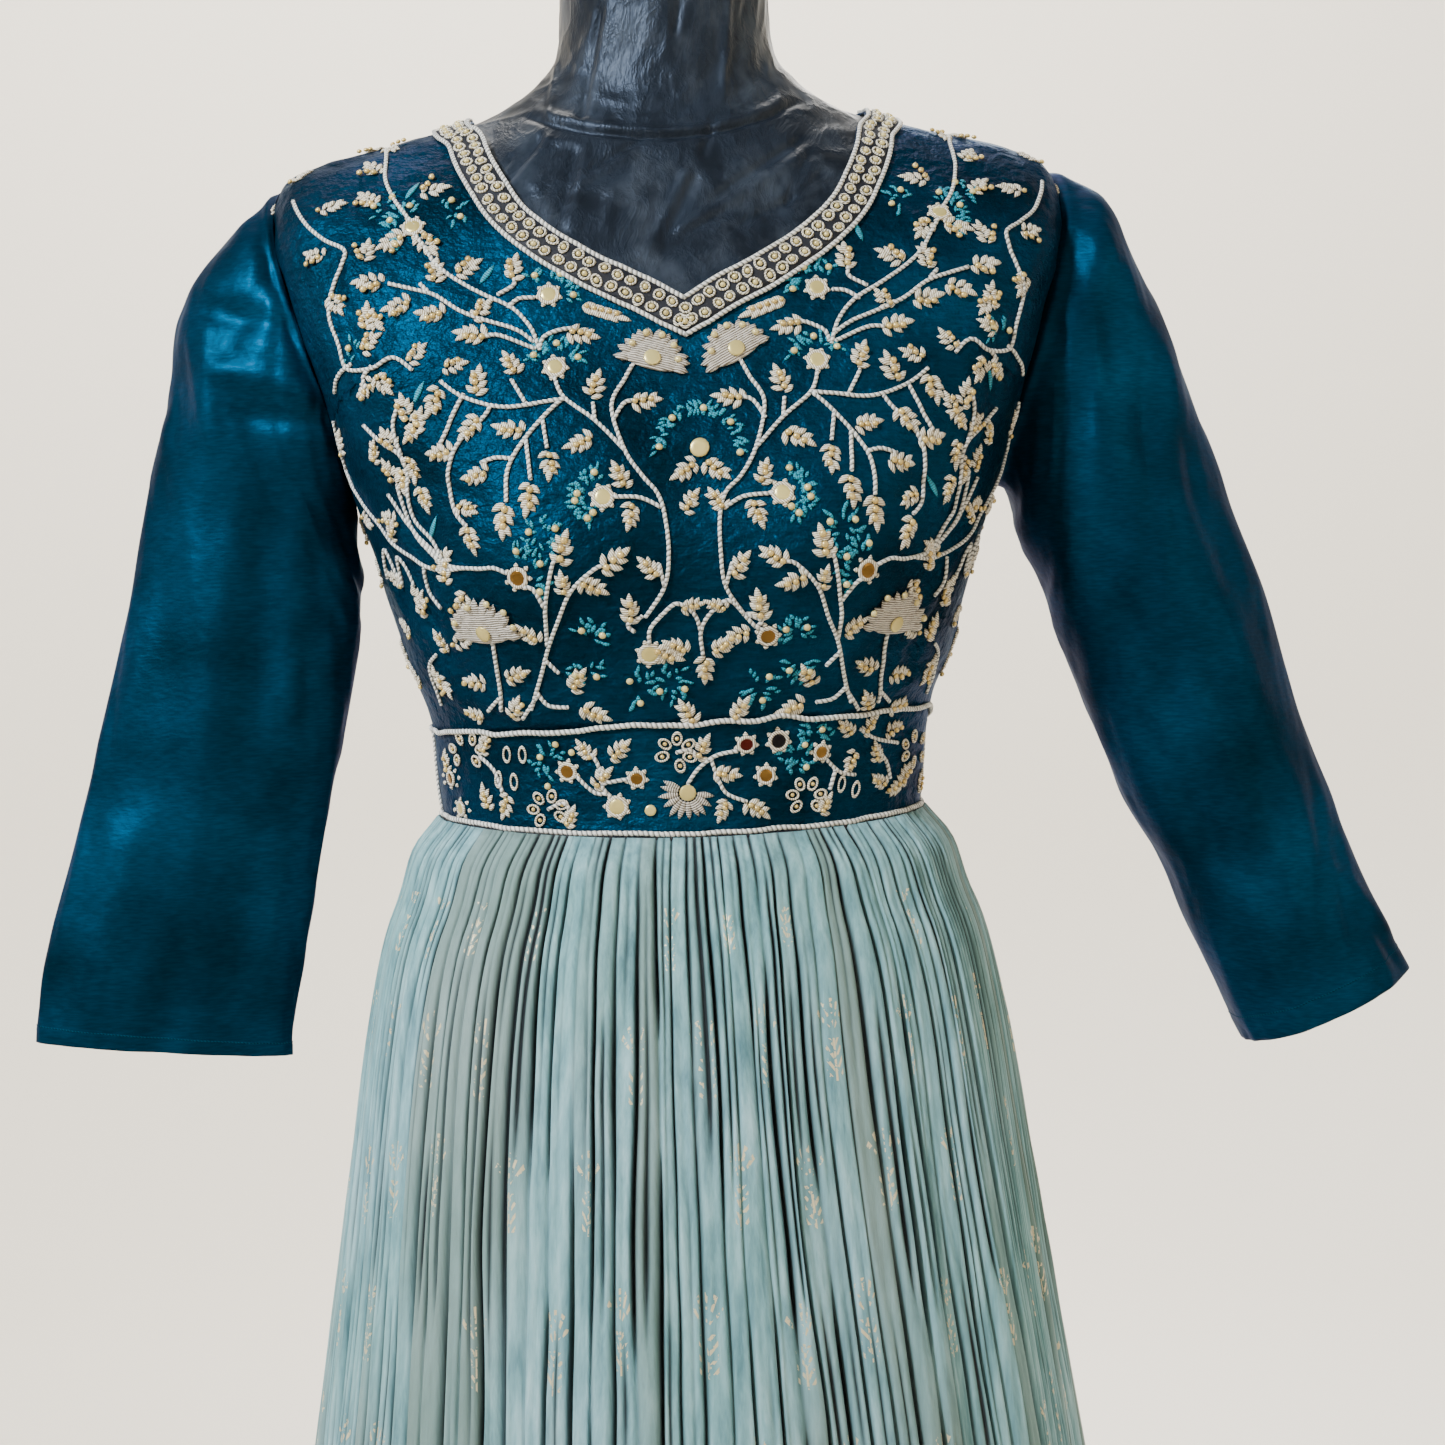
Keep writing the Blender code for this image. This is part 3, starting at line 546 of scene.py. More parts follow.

# %% [markdown]
# ## Threads, beads, mirrors, the form's cover and its stand
#
# Couched cord is silver-white viscose, two strands twisted together: its stripes, painted
# shade in the grooves between the strands, come from the UV map, which runs round and along
# each cord. Leaves are stitched in champagne thread, lotuses in ivory and the blue flowers in
# turquoise thread. Beads are pale gold and glossy, the discs are foil mirrors. The form's
# cover is black stretch vinyl that creases finely.


# %% Trim and form materials
def thread(name, light, dark, pitch_mm, strands, depth, sheen=0.2, patch_mm=9, lit=0.75):
    """Thread with twist stripes: the sine of the UV's turn round the cord plus its length
    over the pitch, as painted shade in the grooves and as bump, with uneven patches of tone.
    Strands say how many times a stripe goes round, depth how raised it is, and lit where the
    ramp is at its lightest."""
    material, tree, shader, place = cloth_material(name, 0.55, sheen, "FFFFFF")
    if sheen == 0.0:  # matt sewing thread
        shader.inputs["Specular IOR Level"].default_value = 0.03
    split = add_node(tree, "SeparateXYZ", {0: place.outputs["UV"]})
    along = times(tree, split.outputs[1], 1 / (pitch_mm * MM))
    phase = plus(tree, along, times(tree, split.outputs[0], strands))
    wave = maths(tree, "SINE", times(tree, phase, 2 * math.pi))
    ridge = plus(tree, times(tree, wave, 0.5), 0.5)
    uneven = noise(tree, place.outputs["Object"], patch_mm, 2)
    # painted shade: the grooves of the twist are coloured dark, the ridges light
    shade = times(tree, maths(tree, "POWER", ridge, 0.6), plus(tree, uneven, 0.5))
    colour = ramp(tree, shade, (0.1, dark), (lit, light))
    tree.links.new(colour, shader.inputs["Base Color"])
    tree.links.new(bump(tree, ridge, depth, 0.5), shader.inputs["Normal"])
    return material


def glossy(name, colour, roughness, metallic=0.0, patch_mm=6.0):
    """A bead or mirror: a base colour that varies a little from one to the next."""
    material, tree, shader, place = cloth_material(name, roughness, 0.0, "FFFFFF")
    red, green, blue, _ = linear(colour)
    patches = noise(tree, place.outputs["Object"], patch_mm, 1)
    mix = add_node(tree, "Mix", {0: patches}, data_type="RGBA")
    mix.inputs[6].default_value = (red * 0.7, green * 0.62, blue * 0.5, 1)
    mix.inputs[7].default_value = (min(red * 1.2, 1), min(green * 1.2, 1), min(blue * 1.25, 1), 1)
    tree.links.new(mix.outputs[2], shader.inputs["Base Color"])
    shader.inputs["Metallic"].default_value = metallic
    return material


def form_cover():
    """Black stretch vinyl: fine creases where a noise, itself bent by another, crosses its
    middle value, and lighter patches where a third noise is high, partly dusty vinyl and
    partly painted sheen."""
    material, tree, shader, place = cloth_material("black_stretch_vinyl", 0.42, 0.0, "8890A0")
    shader.inputs["Specular IOR Level"].default_value = 0.5
    shader.inputs["Specular Tint"].default_value = linear("98A8C0")
    spot = place.outputs["Object"]
    warp = noise(tree, spot, 40, 2)
    bent = add_node(tree, "VectorMath", {0: spot, 1: (0, 0, 0)}, operation="ADD")
    shift = add_node(tree, "VectorMath", {0: (0.02, 0.02, 0.03), "Scale": warp}, operation="SCALE")
    tree.links.new(shift.outputs[0], bent.inputs[1])
    creases = noise(tree, bent.outputs[0], 22, 5, (1, 1, 0.5), 0.62)
    ridge = maths(tree, "ABSOLUTE", minus(tree, creases, 0.5))
    sharp = maths(tree, "POWER", minus(tree, 1.0, times(tree, ridge, 6)), 3)
    grain = noise(tree, spot, 1.6, 2)
    colour = ramp(tree, creases, (0.35, "0F141B"), (0.55, "1B222C"), (0.75, "2D3540"))
    # lighter patches: partly dusty vinyl, partly painted sheen
    patches = minus(tree, noise(tree, spot, 26, 4, (1, 1, 0.7), 0.6), 0.5)
    dust_and_sheen = add_node(tree, "Mix", {0: times(tree, patches, 1.7)}, data_type="RGBA")
    tree.links.new(colour, dust_and_sheen.inputs[6])
    dust_and_sheen.inputs[7].default_value = linear("525B66")
    tree.links.new(dust_and_sheen.outputs[2], shader.inputs["Base Color"])
    fine = bump(tree, grain, 0.12, 0.3)
    tree.links.new(bump(tree, sharp, 0.22, 1.6, fine), shader.inputs["Normal"])
    return material


def border_ground():
    """Dark navy cloth with an uneven grain of about 1.2 mm."""
    material, tree, shader, place = cloth_material("navy_ground_cloth", 0.7, 0.1, "6070A0")
    patches = noise(tree, place.outputs["Object"], 1.2, 2)
    colour = ramp(tree, patches, (0.3, "05070E"), (0.7, "0E1322"))
    tree.links.new(colour, shader.inputs["Base Color"])
    tree.links.new(bump(tree, patches, 0.4, 0.3), shader.inputs["Normal"])
    return material


def powder_coat():
    """Black powder coat: a fine orange-peel grain of about 1.5 mm on steel."""
    material, tree, shader, place = cloth_material("black_powder_coat", 0.38, 0.0, "FFFFFF")
    grain = noise(tree, place.outputs["Object"], 1.5, 2)
    colour = ramp(tree, grain, (0.3, "17171A"), (0.7, "222226"))
    tree.links.new(colour, shader.inputs["Base Color"])
    tree.links.new(bump(tree, grain, 0.15, 0.3), shader.inputs["Normal"])
    return material


CORD = thread("silver_white_couched_cord", "F4F2EA", "6A6E6C", 2.4, 1, 0.8)
CHAMPAGNE = thread("champagne_stitched_thread", "FFF8E4", "86704A", 1.0, 0, 0.6)
LOTUS = thread("ivory_stitched_thread", "EFE6D8", "4E4434", 1.1, 0, 0.9, 0.2, 2.4, 1.05)
COILED = thread("cream_coiled_thread", "FBF5E2", "6E6146", 1.2, 0, 0.6)
TURQUOISE = thread("turquoise_stitched_thread", "089DB6", "023B50", 1.1, 0, 0.4, 0.05)
SEWING = thread("teal_sewing_thread", "03384C", "022433", 1.6, 1, 0.5, 0.0)
GOLD = glossy("pale_gold_bead", "E4CB85", 0.24, 0.4)
PEARL = glossy("cream_glass_bead", "E6D898", 0.22, 0.15)
MIRROR = glossy("gold_foil_mirror", "E2D48C", 0.3, 0.45, 30)
SMOKED = glossy("amber_foil_mirror", "8A6A35", 0.12, 0.9, 30)
GARNET = glossy("garnet_foil_mirror", "5A1A14", 0.15, 0.8, 30)
NIGHT = glossy("dark_foil_mirror", "0B0B12", 0.15, 0.6, 30)
NAVY = border_ground()
VINYL = form_cover()
STEEL = powder_coat()
print("materials:", len(bpy.data.materials))

# %% [markdown]
# ## The bodice, a patch between two edges
#
# The front panel lies between the centre line with the neckline on one side and the side
# seam with the armhole on the other. A point of the patch is a straight blend of the two
# edges in the figure's own turn and row, then it is moved out along the normal. The cloth
# puckers round the stitches, and a few drag lines run from the armpits.

# %% Bodice edges and cloth surface
# front neckline as seen from the front, from the point of the V to the shoulder
NECKLINE = [(0, 1307), (16, 1316.5), (41.5, 1330), (58, 1341), (70, 1352.6), (78.4, 1366.7)]
NECKLINE += [(85, 1381), (89, 1394)]

# drag lines on the front: from x and z to x and z, half width, height in mm
FRONT_CREASES = [
    (-128, 1232, -96, 1218, 4.0, -1.6),
    (-131, 1208, -104, 1172, 5.0, 1.6),
    (-126, 1190, -112, 1150, 4.0, -1.8),
    (128, 1234, 98, 1216, 4.0, -1.4),
    (130, 1200, 108, 1160, 5.0, 1.5),
    (122, 1176, 104, 1146, 4.0, -1.6),
    (-104, 1128, -70, 1119, 4.0, 1.3),
    (60, 1120, 108, 1132, 4.0, 1.3),
    (-60, 1222, -8, 1238, 6.0, 1.0),
    (8, 1240, 62, 1216, 6.0, 1.0),
    (150, 1330, 128, 1268, 6.0, 1.5),
    (-150, 1326, -132, 1270, 6.0, 1.5),
]


def crease_height(x, z, creases):
    """The sum of soft lines in mm: each is a bell across its line, fading at its ends."""
    height = np.zeros(np.broadcast(x, z).shape)
    for x0, z0, x1, z1, wide, tall in creases:
        length = math.hypot(x1 - x0, z1 - z0)
        along = ((x - x0) * (x1 - x0) + (z - z0) * (z1 - z0)) / length
        aside = ((x - x0) * (z1 - z0) - (z - z0) * (x1 - x0)) / length
        past = np.maximum(np.maximum(-along, along - length), 0)
        height += tall * np.exp(-((aside / wide) ** 2) - (past / (1.6 * wide)) ** 2)
    return height


SEAM_RISE, SEAM_TILT = 2.5, 4.0


def waist_seam(turn):
    """Height of the seam over the band: at the front it is a little above its level at the
    sides, and higher with the sine of the turn, towards the wearer's left."""
    front = soft_step(np.cos(turn), 0, 0.35)
    return WAIST_SEAM_Z + front * (SEAM_RISE + SEAM_TILT * np.sin(turn))


def to_waist_seam(turn, row):
    """Rows moved so that a panel's foot meets the waist seam, and less further up."""
    foot = float(row_at_height(WAIST_SEAM_Z + SEAM / 2))
    near = np.clip((row - SEAM_PULL_ROW) / (foot - SEAM_PULL_ROW), 0, 1)
    return row + (row_at_height(waist_seam(turn) + SEAM / 2) - foot) * near


def pucker(turn, row):
    """Small uneven hollows between the stitches, about 12 and 6 mm across."""
    coarse = soft_noise(turn * 9.3 + 40, row * 2.1, 11) * 0.75
    fine = soft_noise(turn * 19 + 60, row * 4.4, 12) * 0.35
    return coarse + fine


def cloth_at(turn, row, out=CLOTH_OUT):
    """A point of the bodice or band: the figure, moved out, creased and then leaned."""
    turn, row = np.broadcast_arrays(np.asarray(turn, float), np.asarray(row, float))
    base = figure_point(turn, row)
    front = np.clip(np.cos(turn) * 6, 0, 1)
    raised = pucker(turn, row) * (0.35 + 0.65 * front)
    raised = raised + front * crease_height(base[..., 0], base[..., 2], FRONT_CREASES)
    return leaned(base + figure_normal(turn, row) * (out + raised)[..., None])


def lengths_along(places):
    """The distance along a line of points, from 0 at the first."""
    steps = np.linalg.norm(np.diff(places, axis=0), axis=1)
    return np.concatenate([[0], np.cumsum(steps)])


def even_curve(points, count):
    """Count points at equal distances along a curve of turn and row, on the cloth."""
    at = np.linspace(0, len(points) - 1, 40 * len(points))
    turn, row = along_rows(points, at).T
    length = lengths_along(figure_point(turn, row) + figure_normal(turn, row) * CLOTH_OUT)
    wanted = np.linspace(0, length[-1], count)
    return np.stack([np.interp(wanted, length, turn), np.interp(wanted, length, row)], -1)


def front_neckline(count):
    """Turns and rows of the front neckline, from the point of the V to the shoulder."""
    seen = np.array(NECKLINE, float)
    turn, row = seen_from_front(np.maximum(seen[:, 0], 1e-6), seen[:, 1])
    points = list(zip(turn, row))
    last_turn, last_row = points[-1]
    for part in (0.35, 0.7, 1.0):
        next_turn = last_turn + (QUARTER - last_turn) * part
        points.append((next_turn, last_row + (HIGH_SHOULDER_ROW - last_row) * part**1.4))
    return even_curve(points, count)


def back_neckline(count):
    """Turns and rows of the back neckline, from centre back to the shoulder."""
    turn = np.linspace(math.pi, QUARTER, 12)
    rise = np.abs(np.cos(turn)) ** 0.8
    row = HIGH_SHOULDER_ROW + (BACK_NECK_ROW - HIGH_SHOULDER_ROW) * rise
    return even_curve(np.stack([turn, row], -1), count)


def armhole(count, towards):
    """Turns and rows of half an armhole, from the armpit to the shoulder point: a scoop
    that is a sine of the way along, to the front for -1 and to the back for +1."""
    part = np.linspace(0, 1, count)
    row = ARMPIT_ROW + (SHOULDER_ROW - ARMPIT_ROW) * part
    return np.stack([QUARTER + towards * ARMHOLE_SCOOP * np.sin(math.pi * part) ** 0.6, row], -1)


def panel_places(centre, neckline, armhole_edge, to_armpit, to_neck, columns):
    """Turns and rows of half a bodice panel, from its foot to the shoulder seam."""
    foot = float(row_at_height(WAIST_SEAM_Z + SEAM / 2))
    middle = np.linspace(foot, neckline[0, 1], to_neck + 1)[:-1]
    left = np.concatenate([np.stack([np.full(to_neck, centre), middle], -1), neckline])
    side = np.linspace(foot, ARMPIT_ROW, to_armpit + 1)[:-1]
    right = np.concatenate([np.stack([np.full(to_armpit, QUARTER), side], -1), armhole_edge])
    across = np.linspace(0, 1, columns + 1)[None, :, None]
    places = left[:, None] * (1 - across) + right[:, None] * across
    return places[..., 0], places[..., 1]


def bodice(name, node, turn, row):
    """Both halves of a panel as one sheet, joined at the middle up to the neckline."""
    halves = [cloth_at(side * turn, to_waist_seam(side * turn, row)) for side in (1, -1)]
    inside = np.concatenate([figure_point(side * turn, row).reshape(-1, 3) for side in (1, -1)])
    points = np.concatenate([half.reshape(-1, 3) for half in halves])
    rows, columns = turn.shape
    faces = np.concatenate(
        [grid_faces(rows, columns), grid_faces(rows, columns, start=rows * columns, flip=True)]
    )
    middle = np.flatnonzero(np.abs(np.sin(turn[:, 0])) < 1e-6) * columns
    index = np.arange(len(points))
    index[middle + rows * columns] = middle
    used, faces = np.unique(index[faces], return_inverse=True)
    faces = facing_out(points[used], faces.reshape(-1, 4), points[used] - inside[used])
    piece = make_piece(name, points[used], faces, STITCHED_TEAL, "teal_satin")
    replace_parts(piece, node)
    print(name, len(faces), "faces,", round(sheet_area(points[used], faces), 4), "m2")
    return thicken(piece, CLOTH_THICK)


front_places = panel_places(0.0, front_neckline(61), armhole(65, -1), 56, 60, 84)
back_places = panel_places(math.pi, back_neckline(29), armhole(33, 1), 26, 30, 40)
bodice_front = bodice("bodice_front_satin", "bodice_front", *front_places)
bodice_back = bodice("bodice_back_satin", "bodice_back", *back_places)

# %% [markdown]
# ## The waistband
#
# The band is a strip of the same satin, 44 to 54 mm deep, in a front and a back piece. It
# lies on the figure between two heights, and its foot dips a little at centre front.


# %% Waistband
def band_foot(turn):
    """Height of the band's lower edge: it dips with the square of the cosine in front."""
    return BAND_FOOT_Z - BAND_DIP * np.clip(np.cos(turn), 0, 1) ** 2


def waistband(name, node, centre, columns):
    """Half of the band: rows in equal steps from its foot to the waist seam."""
    turn = np.linspace(centre - QUARTER, centre + QUARTER, columns)[None, :]
    part = np.linspace(0, 1, 15)[:, None]
    foot, top = row_at_height(band_foot(turn)), row_at_height(waist_seam(turn) - SEAM / 2)
    row = foot + (top - foot) * part
    turn = np.broadcast_to(turn, row.shape)
    points = cloth_at(turn, row).reshape(-1, 3)
    outwards = points * (1, 1, 0)
    faces = facing_out(points, grid_faces(*row.shape), outwards)
    piece = make_piece(name, points, faces, STITCHED_TEAL, "teal_satin")
    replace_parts(piece, node)
    print(name, round(sheet_area(points, faces), 4), "m2")
    return thicken(piece, CLOTH_THICK)


band_front = waistband("waistband_front_satin", "waistband_front", 0.0, 121)
band_back = waistband("waistband_back_satin", "waistband_back", math.pi, 61)

# %% [markdown]
# ## The sleeves
#
# Each sleeve starts in its armhole and goes through ten sections that are flattened ovals,
# given by their two edges as seen from the front. A smooth curve through the sections gives
# the tube. Folds are lines on the front or the back of the sleeve, listed one by one, and
# small uneven ripples lie between them.

# %% Sleeves
# outer x, outer z, inner x, inner z, half depth, centre y
SLEEVE_LEFT = [
    (216, 1370, 167, 1222, 50, -4),
    (232, 1337, 173, 1203, 51, -4),
    (246, 1305, 181, 1182, 50, -5),
    (260.5, 1266, 188.5, 1162, 48, -5),
    (274.5, 1229, 196, 1140, 46, -6),
    (293.5, 1174, 209, 1106, 43, -7),
    (310.5, 1118, 226, 1067, 41, -8),
    (328.5, 1064, 245, 1031, 39, -9),
    (345.5, 1021, 260, 989, 37, -11),
    (366, 979, 283, 942, 35, -12),
]
SLEEVE_RIGHT = [
    (210, 1356, 158, 1221, 46, -4),
    (236, 1323, 156.5, 1203, 42, -4),
    (244.5, 1285, 155.5, 1187, 37, -5),
    (251, 1255, 156, 1171, 33, -5),
    (259, 1216, 158.5, 1150, 30, -6),
    (274.5, 1149, 166, 1111, 27, -7),
    (287, 1095, 174.5, 1073, 24, -8),
    (306, 1031, 186, 1015, 20, -10),
    (314, 995, 192, 978, 17, -12),
    (317.5, 964, 197, 953, 15, -12),
]
# folds seen on the front, as for the bodice; x is positive on both sleeves
FOLDS_LEFT = [
    (196, 1330, 226, 1250, 10, -3.0),
    (212, 1338, 246, 1262, 8, 2.6),
    (226, 1300, 268, 1180, 9, -2.4),
    (205, 1240, 250, 1150, 10, 2.6),
    (200, 1190, 238, 1120, 7, -2.6),
    (252, 1190, 296, 1076, 10, 2.2),
    (226, 1100, 262, 1040, 8, -2.6),
    (246, 1120, 300, 1010, 7, 2.4),
    (300, 1090, 334, 1000, 8, -2.0),
    (322, 1030, 350, 1000, 5, 2.2),
    (336, 1010, 352, 985, 4, -2.0),
    (280, 1010, 300, 960, 6, 1.8),
]
FOLDS_RIGHT = [
    (178, 1300, 236, 1318, 7, -3.0),
    (176, 1272, 214, 1284, 6, 2.6),
    (176, 1258, 202, 1262, 5, -2.4),
    (190, 1330, 214, 1296, 8, -2.6),
    (222, 1290, 232, 1190, 9, 2.2),
    (196, 1260, 206, 1120, 10, -2.4),
    (218, 1190, 234, 1060, 12, 2.4),
    (182, 1210, 190, 1130, 7, 2.0),
    (250, 1180, 268, 1080, 9, -1.8),
    (206, 1060, 222, 985, 9, -1.8),
    (268, 1060, 292, 985, 10, 1.8),
    (240, 1020, 256, 962, 8, -1.4),
]
SLEEVE_AROUND, SLEEVE_ALONG = 120, 150
# how the folds behind differ: x and z shifts of both ends, and how much wider they are
BACK_SHIFT, BACK_WIDER = (6, -30, -8, -26), 1.3
CAP_ROLL, CAP_LEVEL, HEM_STEP, HEM_LEVEL = 1.4, 0.28, 0.5, 0.36


def sleeve_rings(sections, hand):
    """The armhole ring and the ten sections, in mm, each with the same count of points."""
    half = SLEEVE_AROUND // 2
    places = np.concatenate([armhole(half + 1, -1)[::-1], armhole(half + 1, 1)[1:-1]])
    ring = figure_point(places[:, 0], places[:, 1])
    ring = ring + figure_normal(places[:, 0], places[:, 1]) * CLOTH_OUT
    ring = leaned(ring * (hand, 1, 1))
    around = np.linspace(0, 2 * math.pi, SLEEVE_AROUND, endpoint=False)[None, :]
    outer_x, outer_z, inner_x, inner_z, depth, centre_y = (
        column[:, None] for column in np.array(sections, float).T
    )
    x = (outer_x + inner_x) / 2 + (outer_x - inner_x) / 2 * np.cos(around)
    z = (outer_z + inner_z) / 2 + (outer_z - inner_z) / 2 * np.cos(around)
    tubes = np.stack([hand * x, centre_y - depth * np.sin(around), z], -1)
    return np.concatenate([ring[None], tubes])


def sleeve(name, node, sections, folds, hand, seed):
    """A sleeve: a smooth curve through its rings, moved along the normal by the sum of the
    folds, two noises, the cap's roll and the hem's step."""
    rings = sleeve_rings(sections, hand)
    level = np.linspace(0, len(sections), SLEEVE_ALONG)
    points = along_rows(rings, level)
    normal = grid_normals(points, round_about=True)
    centre = points.mean(axis=1, keepdims=True)
    if ((points - centre) * normal).sum() < 0:
        normal = -normal
    x, z = points[..., 0] * hand, points[..., 2]
    front = np.clip(-normal[..., 1] * 1.4, 0, 1)
    back = np.clip(normal[..., 1] * 1.4, 0, 1)
    height = crease_height(x, z, folds) * front
    behind = [
        (*[end + shift for end, shift in zip(fold[:4], BACK_SHIFT)], fold[4] * BACK_WIDER, -fold[5])
        for fold in folds
    ]
    height += crease_height(x, z, behind) * back
    around = np.arange(SLEEVE_AROUND)[None, :] / SLEEVE_AROUND
    across, ahead = np.sin(2 * math.pi * around), np.cos(2 * math.pi * around)
    down = level[:, None]
    ripple = soft_noise(across * 2.6 + 20 + down * 0.5, ahead * 2.2 + 30 + down, seed)
    fine = soft_noise(across * 7 + 50, ahead * 7 + 20 + down * 2.7, seed + 1)
    height += 1.5 * ripple + 0.5 * fine
    height *= soft_step(level, 0, 0.5)[:, None]
    # the cap stands up a little beside the armhole's seam, and the hem is turned in twice
    height += CAP_ROLL * np.exp(-(((level - CAP_LEVEL) / 0.15) ** 2))[:, None]
    hem = len(sections) - HEM_LEVEL, len(sections) - 0.3
    height += HEM_STEP * soft_step(level, *hem)[:, None]
    points = points + normal * height[..., None]
    faces = grid_faces(*points.shape[:2], round_about=True)
    flat_points, outwards = points.reshape(-1, 3), normal.reshape(-1, 3)
    faces = facing_out(flat_points, faces, outwards)
    piece = make_piece(name, flat_points, faces, TEAL, "teal_satin")
    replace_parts(piece, node)
    print(name, round(sheet_area(flat_points, faces), 4), "m2")
    return thicken(piece, CLOTH_THICK), points, normal


sleeve_left, left_points, left_normals = sleeve(
    "sleeve_left_satin", "sleeve_left", SLEEVE_LEFT, FOLDS_LEFT, 1, 21
)
sleeve_right, right_points, right_normals = sleeve(
    "sleeve_right_satin", "sleeve_right", SLEEVE_RIGHT, FOLDS_RIGHT, -1, 31
)

# %% [markdown]
# ## The skirt
#
# The skirt has 54 gathers a panel, each a ridge and a valley, on ovals that widen to the
# hem, with a few deep folds. The ridges and valleys of the CAD are kept, and a smooth curve
# runs through them, along and across. The finer crinkle is noise, long down the cloth and
# narrow across it, so that pleats sway, merge and part as they do in georgette.

# %% Skirt
GATHERS_PER_PANEL = 54
SKIRT_TOP_Z = 1067
# z, half width, front depth, back depth, fullness, gather height, fold height
SKIRT = np.array(
    [
        (1067.5, 120.6, 89.4, 79.8, 2.2, 0.5, 0),
        (1053, 132, 98, 90, 2.2, 1.6, 0.4),
        (1032, 139, 104, 99, 2.15, 2, 1),
        (980, 154.5, 116.5, 119, 2.1, 2.2, 1.6),
        (800, 183, 149, 152, 2, 3, 4),
        (HEM_Z, 297, 268, 273, 2, 5, 11),
    ]
)
SKIRT_FOLDS = [(7, 0.45, 0.6), (11, 0.35, 2.1), (17, 0.2, 4.0)]
CLOTH_PER_GATHER = 0.0215


def uneven(number, salt):
    """A number from -1 to 1 that looks irregular from one gather to the next."""
    return np.sin(12.9898 * number + 78.233 * salt + 4.1 * np.sin(3.7 * number))


def skirt_levels(heights):
    """Fractional rows of the skirt's table at these heights."""
    rows = np.linspace(0, len(SKIRT) - 1, 2000)
    return np.interp(-np.asarray(heights, float), -along_rows(SKIRT, rows)[:, 0], rows)


# columns of one pleat, in knots from its slit: they crowd where the slit is
SLIT_COLUMNS = np.array([-0.5, -0.28, -0.14, 0, 0.14, 0.28])


# sideways drift: how far in knots, how fine round the skirt, start, mm down it, seed
SWAYS = [(0.26, 0.43, 200, 80, 41), (0.07, 0.9, 200, 34, 42), (1.5, 0.09, 60, 190, 47)]
# how open the slits of valleys and of ridges are by and large, and how much that varies
VALLEY_OPEN, RIDGE_OPEN, OPEN_VARIES = 0.95, 0.32, 1.1


def pleat_columns(first, last):
    """Knots of a panel's columns, and of each column the knot that it belongs to."""
    inner = np.arange(first + 1, last, dtype=float)
    pleats = (inner[:, None] + SLIT_COLUMNS).ravel()
    knot = np.concatenate([[first, first + 0.25], pleats, [last - 0.5, last - 0.25, last]])
    return knot, np.clip(np.round(knot + 1e-6), first + 1, last - 1)


def slits(knot, own, first, last, drop):
    """A bell at each knot, as narrow as its slit and as high as a noise says, and 0 at the
    side seams."""
    valley = np.abs(own) % 2
    likely = np.where(valley > 0, VALLEY_OPEN, RIDGE_OPEN)
    chances = likely + OPEN_VARIES * soft_noise(own * 0.61 + 300, drop / 68, 46)
    share = np.clip(chances, 0.3 * (valley > 0), 1.2)
    share = share * soft_step(np.abs(knot - first), 0, 0.5) * soft_step(np.abs(last - knot), 0, 0.5)
    return np.exp(-((np.abs(knot - own) / (0.19 + 0.06 * uneven(own, 5))) ** 1.7)) * share


def painted_pleat_shade(knot, drop):
    """A value for each pleat that changes slowly down it: a soft step of two noises. The
    material greys the pleat by it, a painted shade for pleats turned away from the light.
    """
    pleat = np.round(knot / 2)
    tint = soft_noise(pleat * 0.73 + 150, drop / 330, 48)
    tint = tint + 0.6 * soft_noise(pleat * 0.17 + 90, drop / 500, 49)
    return 0.75 * soft_step(tint, -0.15, 0.75)


